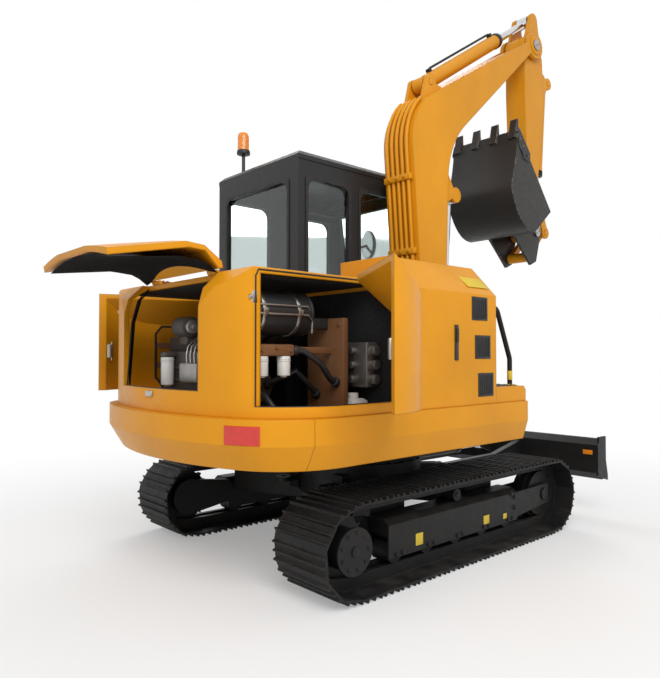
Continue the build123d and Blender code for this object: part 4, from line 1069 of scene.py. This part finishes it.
def cushion(name, size, stand, cap):
    """A foam pad in cloth: swollen by the cloth solver, then sewn with two channels."""
    mesh = bmesh.new()
    block(mesh, Vector(), size, rounding=0.035)
    data = bpy.data.meshes.new(name)
    mesh.to_mesh(data)
    mesh.free()
    thing = bpy.data.objects.new(name, data)
    bpy.context.scene.collection.objects.link(thing)
    even = thing.modifiers.new("even", "REMESH")
    even.mode = "VOXEL"
    even.voxel_size = 0.008

    def settle():
        graph = bpy.context.evaluated_depsgraph_get()
        made = bpy.data.meshes.new_from_object(thing.evaluated_get(graph))
        thing.modifiers.clear()
        thing.data = made

    settle()
    start = [vertex.co.copy() for vertex in thing.data.vertices]
    swell = thing.modifiers.new("swell", "CLOTH")
    swell.settings.use_pressure = True
    swell.settings.uniform_pressure_force = 4
    swell.settings.effector_weights.gravity = 0
    for number in range(1, 21):
        bpy.context.scene.frame_set(number)
    settle()
    bpy.context.scene.frame_set(1)
    for vertex, before in zip(thing.data.vertices, start):
        move = vertex.co - before
        if move.length > cap:
            vertex.co = before + cap * move.normalized()
    for vertex in thing.data.vertices:
        for channel in (-0.17, 0.17):
            distance = (vertex.co.y - channel * size[1] / 0.48) / 0.010
            if abs(distance) < 3:
                vertex.co.z -= 0.007 * 2.7 ** (-distance * distance) * (1 if vertex.co.z > 0 else -1)
    thing.data.transform(stand)
    smooth = thing.modifiers.new("smooth", "SUBSURF")
    smooth.levels = smooth.render_levels = 1
    settle()
    thing.data.materials.clear()
    thing.data.materials.append(cloth)
    thing.data.shade_smooth()
    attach(thing, "house")


cushion("seat_pad", (0.470, 0.450, 0.090), Matrix.Translation(spot(-100, 490, 1182)), 0.012)
BACK_TILT = -1.6786
cushion(
    "seat_back", (0.590, 0.450, 0.080),
    Matrix.Translation(spot(-318, 490, 1490)) @ Matrix.Rotation(BACK_TILT, 4, "Y"), 0.012,
)
knobs = bmesh.new()
for side in (1, -1):
    disc(knobs, spot(200, 490 + side * 320, 1400), (0, 0, 1), 0.024, 0.060, 0.85)
    disc(knobs, spot(200, 490 + side * 320, 1254), (0, 0, 1), 0.045, 0.040, 0.45)
piece("lever_knobs", knobs, rubber, "house")

# Boom and arm: welded yellow box sections with turned bosses, keeper plates on the pins, and five
# steel pipes clamped to the back of the boom.
dress(yellow_enamel, "boom", "arm", "bucket_link", "bucket_rocker")
dress(yellow_enamel, *(f"{name}_cylinder_barrel" for name in ("boom", "arm", "bucket")))
BOOM_Y = -190
pipe_run = bmesh.new()
root, knee = Vector((335, 0, 1105)), Vector((185, 0, 2960))
run = knee - root
behind = Vector((-run.z, 0, run.x)).normalized()
for pipe in range(5):
    across_y = BOOM_Y + 46 * (pipe - 2)
    route = []
    for step in range(9):
        place = root + (0.10 + 0.753 * step / 8) * run + 19 * behind
        route.append(spot(place.x, across_y, place.z))
    bend = root + 0.853 * run - 450 * behind
    for turn in range(180, 129, -6):
        angle = radians(turn)
        route.append(spot(bend.x + 469 * cos(angle), across_y, bend.z + 469 * sin(angle)))
    tube(pipe_run, route, 0.014, 12)
run_turn = Matrix.Rotation(-Vector((run.x, run.z)).angle_signed(Vector((0, 1))), 4, "Y")
for share_along in (0.18, 0.46, 0.74):
    place = root + share_along * run + 20 * behind
    block(pipe_run, spot(place.x, BOOM_Y, place.z), (0.040, 0.244, 0.044), run_turn, 0.004)
    for bolt_y in (-70, 0, 70):
        top = place + 20 * behind
        bolt(pipe_run, spot(top.x, BOOM_Y + bolt_y, top.z), behind, 0.008, 0.008)
piece("boom_pipes", pipe_run, yellow_enamel, "boom")


def collar(mesh, place, facing, inner, outer, height):
    """A turned ring on a place."""
    stand = turned(place, facing)
    corners = ((inner, 0), (outer, 0), (outer, 0.8 * height), (0.96 * outer, height), (inner, height))
    spokes = []
    for turn in range(36):
        angle = 2 * pi * turn / 36
        around = [Vector((reach * cos(angle), reach * sin(angle), rise)) for reach, rise in corners]
        spokes.append([mesh.verts.new(stand @ place) for place in around])
    for turn in range(36):
        skin(mesh, spokes[turn - 1], spokes[turn])


bosses = bmesh.new()
for side in (1, -1):
    collar(bosses, spot(1836, BOOM_Y + side * 139, 3926), (0, side, 0), 0.041, 0.082, 0.009)
piece("boom_bosses", bosses, yellow_enamel, "boom")
caps = bmesh.new()
for pin_x, pin_z, half, radius in (
    (1836, 3926, 150, 0.046), (1872, 2604, 125, 0.038), (1850, 2288, 135, 0.038),
):
    for side in (1, -1):
        disc(caps, spot(pin_x, BOOM_Y + side * half, pin_z), (0, side, 0), radius, 0.008)
        for turn in (0.5, 3.64):
            place = spot(pin_x + 24 * cos(turn), BOOM_Y + side * (half + 7), pin_z + 24 * sin(turn))
            bolt(caps, place, (0, side, 0), 0.007, 0.007)
piece("pin_caps", caps, plated_steel, "arm")

# Cylinder fittings: each barrel has a turned gland at its open end, two port blocks and a steel
# tube that joins them along its side.
for name, base, rod, length, radius, rod_radius, side in (
    ("boom", (640, 880), (765, 2440), 960, 62, 34, -1),
    ("arm", (465, 3225), (1890, 4190), 1180, 56, 30, 1),
    ("bucket", (2152, 3694), (2018.27, 2308.19), 850, 50, 27, 1),
    ("blade", (510, 470), (1440, 470), 620, 45, 25, 1),
):
    middle_y = 0 if name == "blade" else BOOM_Y
    start = Vector((base[0], middle_y, base[1]))
    toward = (Vector((rod[0], middle_y, rod[1])) - start).normalized()
    out = side * Vector((-toward.z, 0, toward.x))
    fittings = bmesh.new()
    gland = start + (length - 42) * toward
    collar(fittings, spot(*gland), toward, (rod_radius + 0.6) / 1000, 1.1 * radius / 1000, 0.046)
    stand = toward.to_track_quat("Z", "Y").to_matrix().to_4x4()
    route = []
    for along in (radius + 90, length - 80):
        port = start + along * toward + (radius + 6) * out
        block(fittings, spot(*port), (0.036, 0.036, 0.036), stand, 0.005)
    for along, lift in (
        (radius + 90, 16), (radius + 120, 22), (length / 2, 22), (length - 110, 22), (length - 80, 16),
    ):
        route.append(spot(*(start + along * toward + (radius + lift) * out)))
    tube(fittings, route, 0.009, 12)
    piece(f"{name}_cylinder_fittings", fittings, black_enamel, f"{name}_barrel")

# Bucket: rolled plate in black, worn bright at the lip and teeth, with a bolted cutter on each side
# wall.
bucket_steel = coated(
    "bucket_steel", (0.020, 0.019, 0.018, 1), 0.46, dust=(0.23, 0.18, 0.13, 1), reach=3.0, strength=0.55,
    bare=(0.30, 0.29, 0.27, 1), amount=0.8, width=0.010, grain=0.12, metal=0.2,
)
dress(bucket_steel, "bucket")
TOOTH = radians(129)


def in_bucket(along, up, y):
    """A point of the bucket, from its pin along the teeth and up into the bowl."""
    x = 1850 + along * cos(TOOTH) - up * sin(TOOTH)
    z = 2288 + along * sin(TOOTH) + up * cos(TOOTH)
    return spot(x, BOOM_Y + y, z)


wear_parts = bmesh.new()
for side in (1, -1):
    outline = ((930, -16), (690, -30), (640, 20), (700, 75), (880, 60))
    faces = []
    for y in (309, 317):
        faces.append([wear_parts.verts.new(in_bucket(a, u, side * y)) for a, u in outline])
        wear_parts.faces.new(faces[-1])
    for index in range(5):
        wear_parts.faces.new((faces[0][index - 1], faces[0][index], faces[1][index], faces[1][index - 1]))
    for along, up in ((700, 22), (780, 20), (860, 18)):
        bolt(wear_parts, in_bucket(along, up, side * 317), (0, side, 0), 0.010, 0.009)
piece("side_cutters", wear_parts, bucket_steel, "bucket")
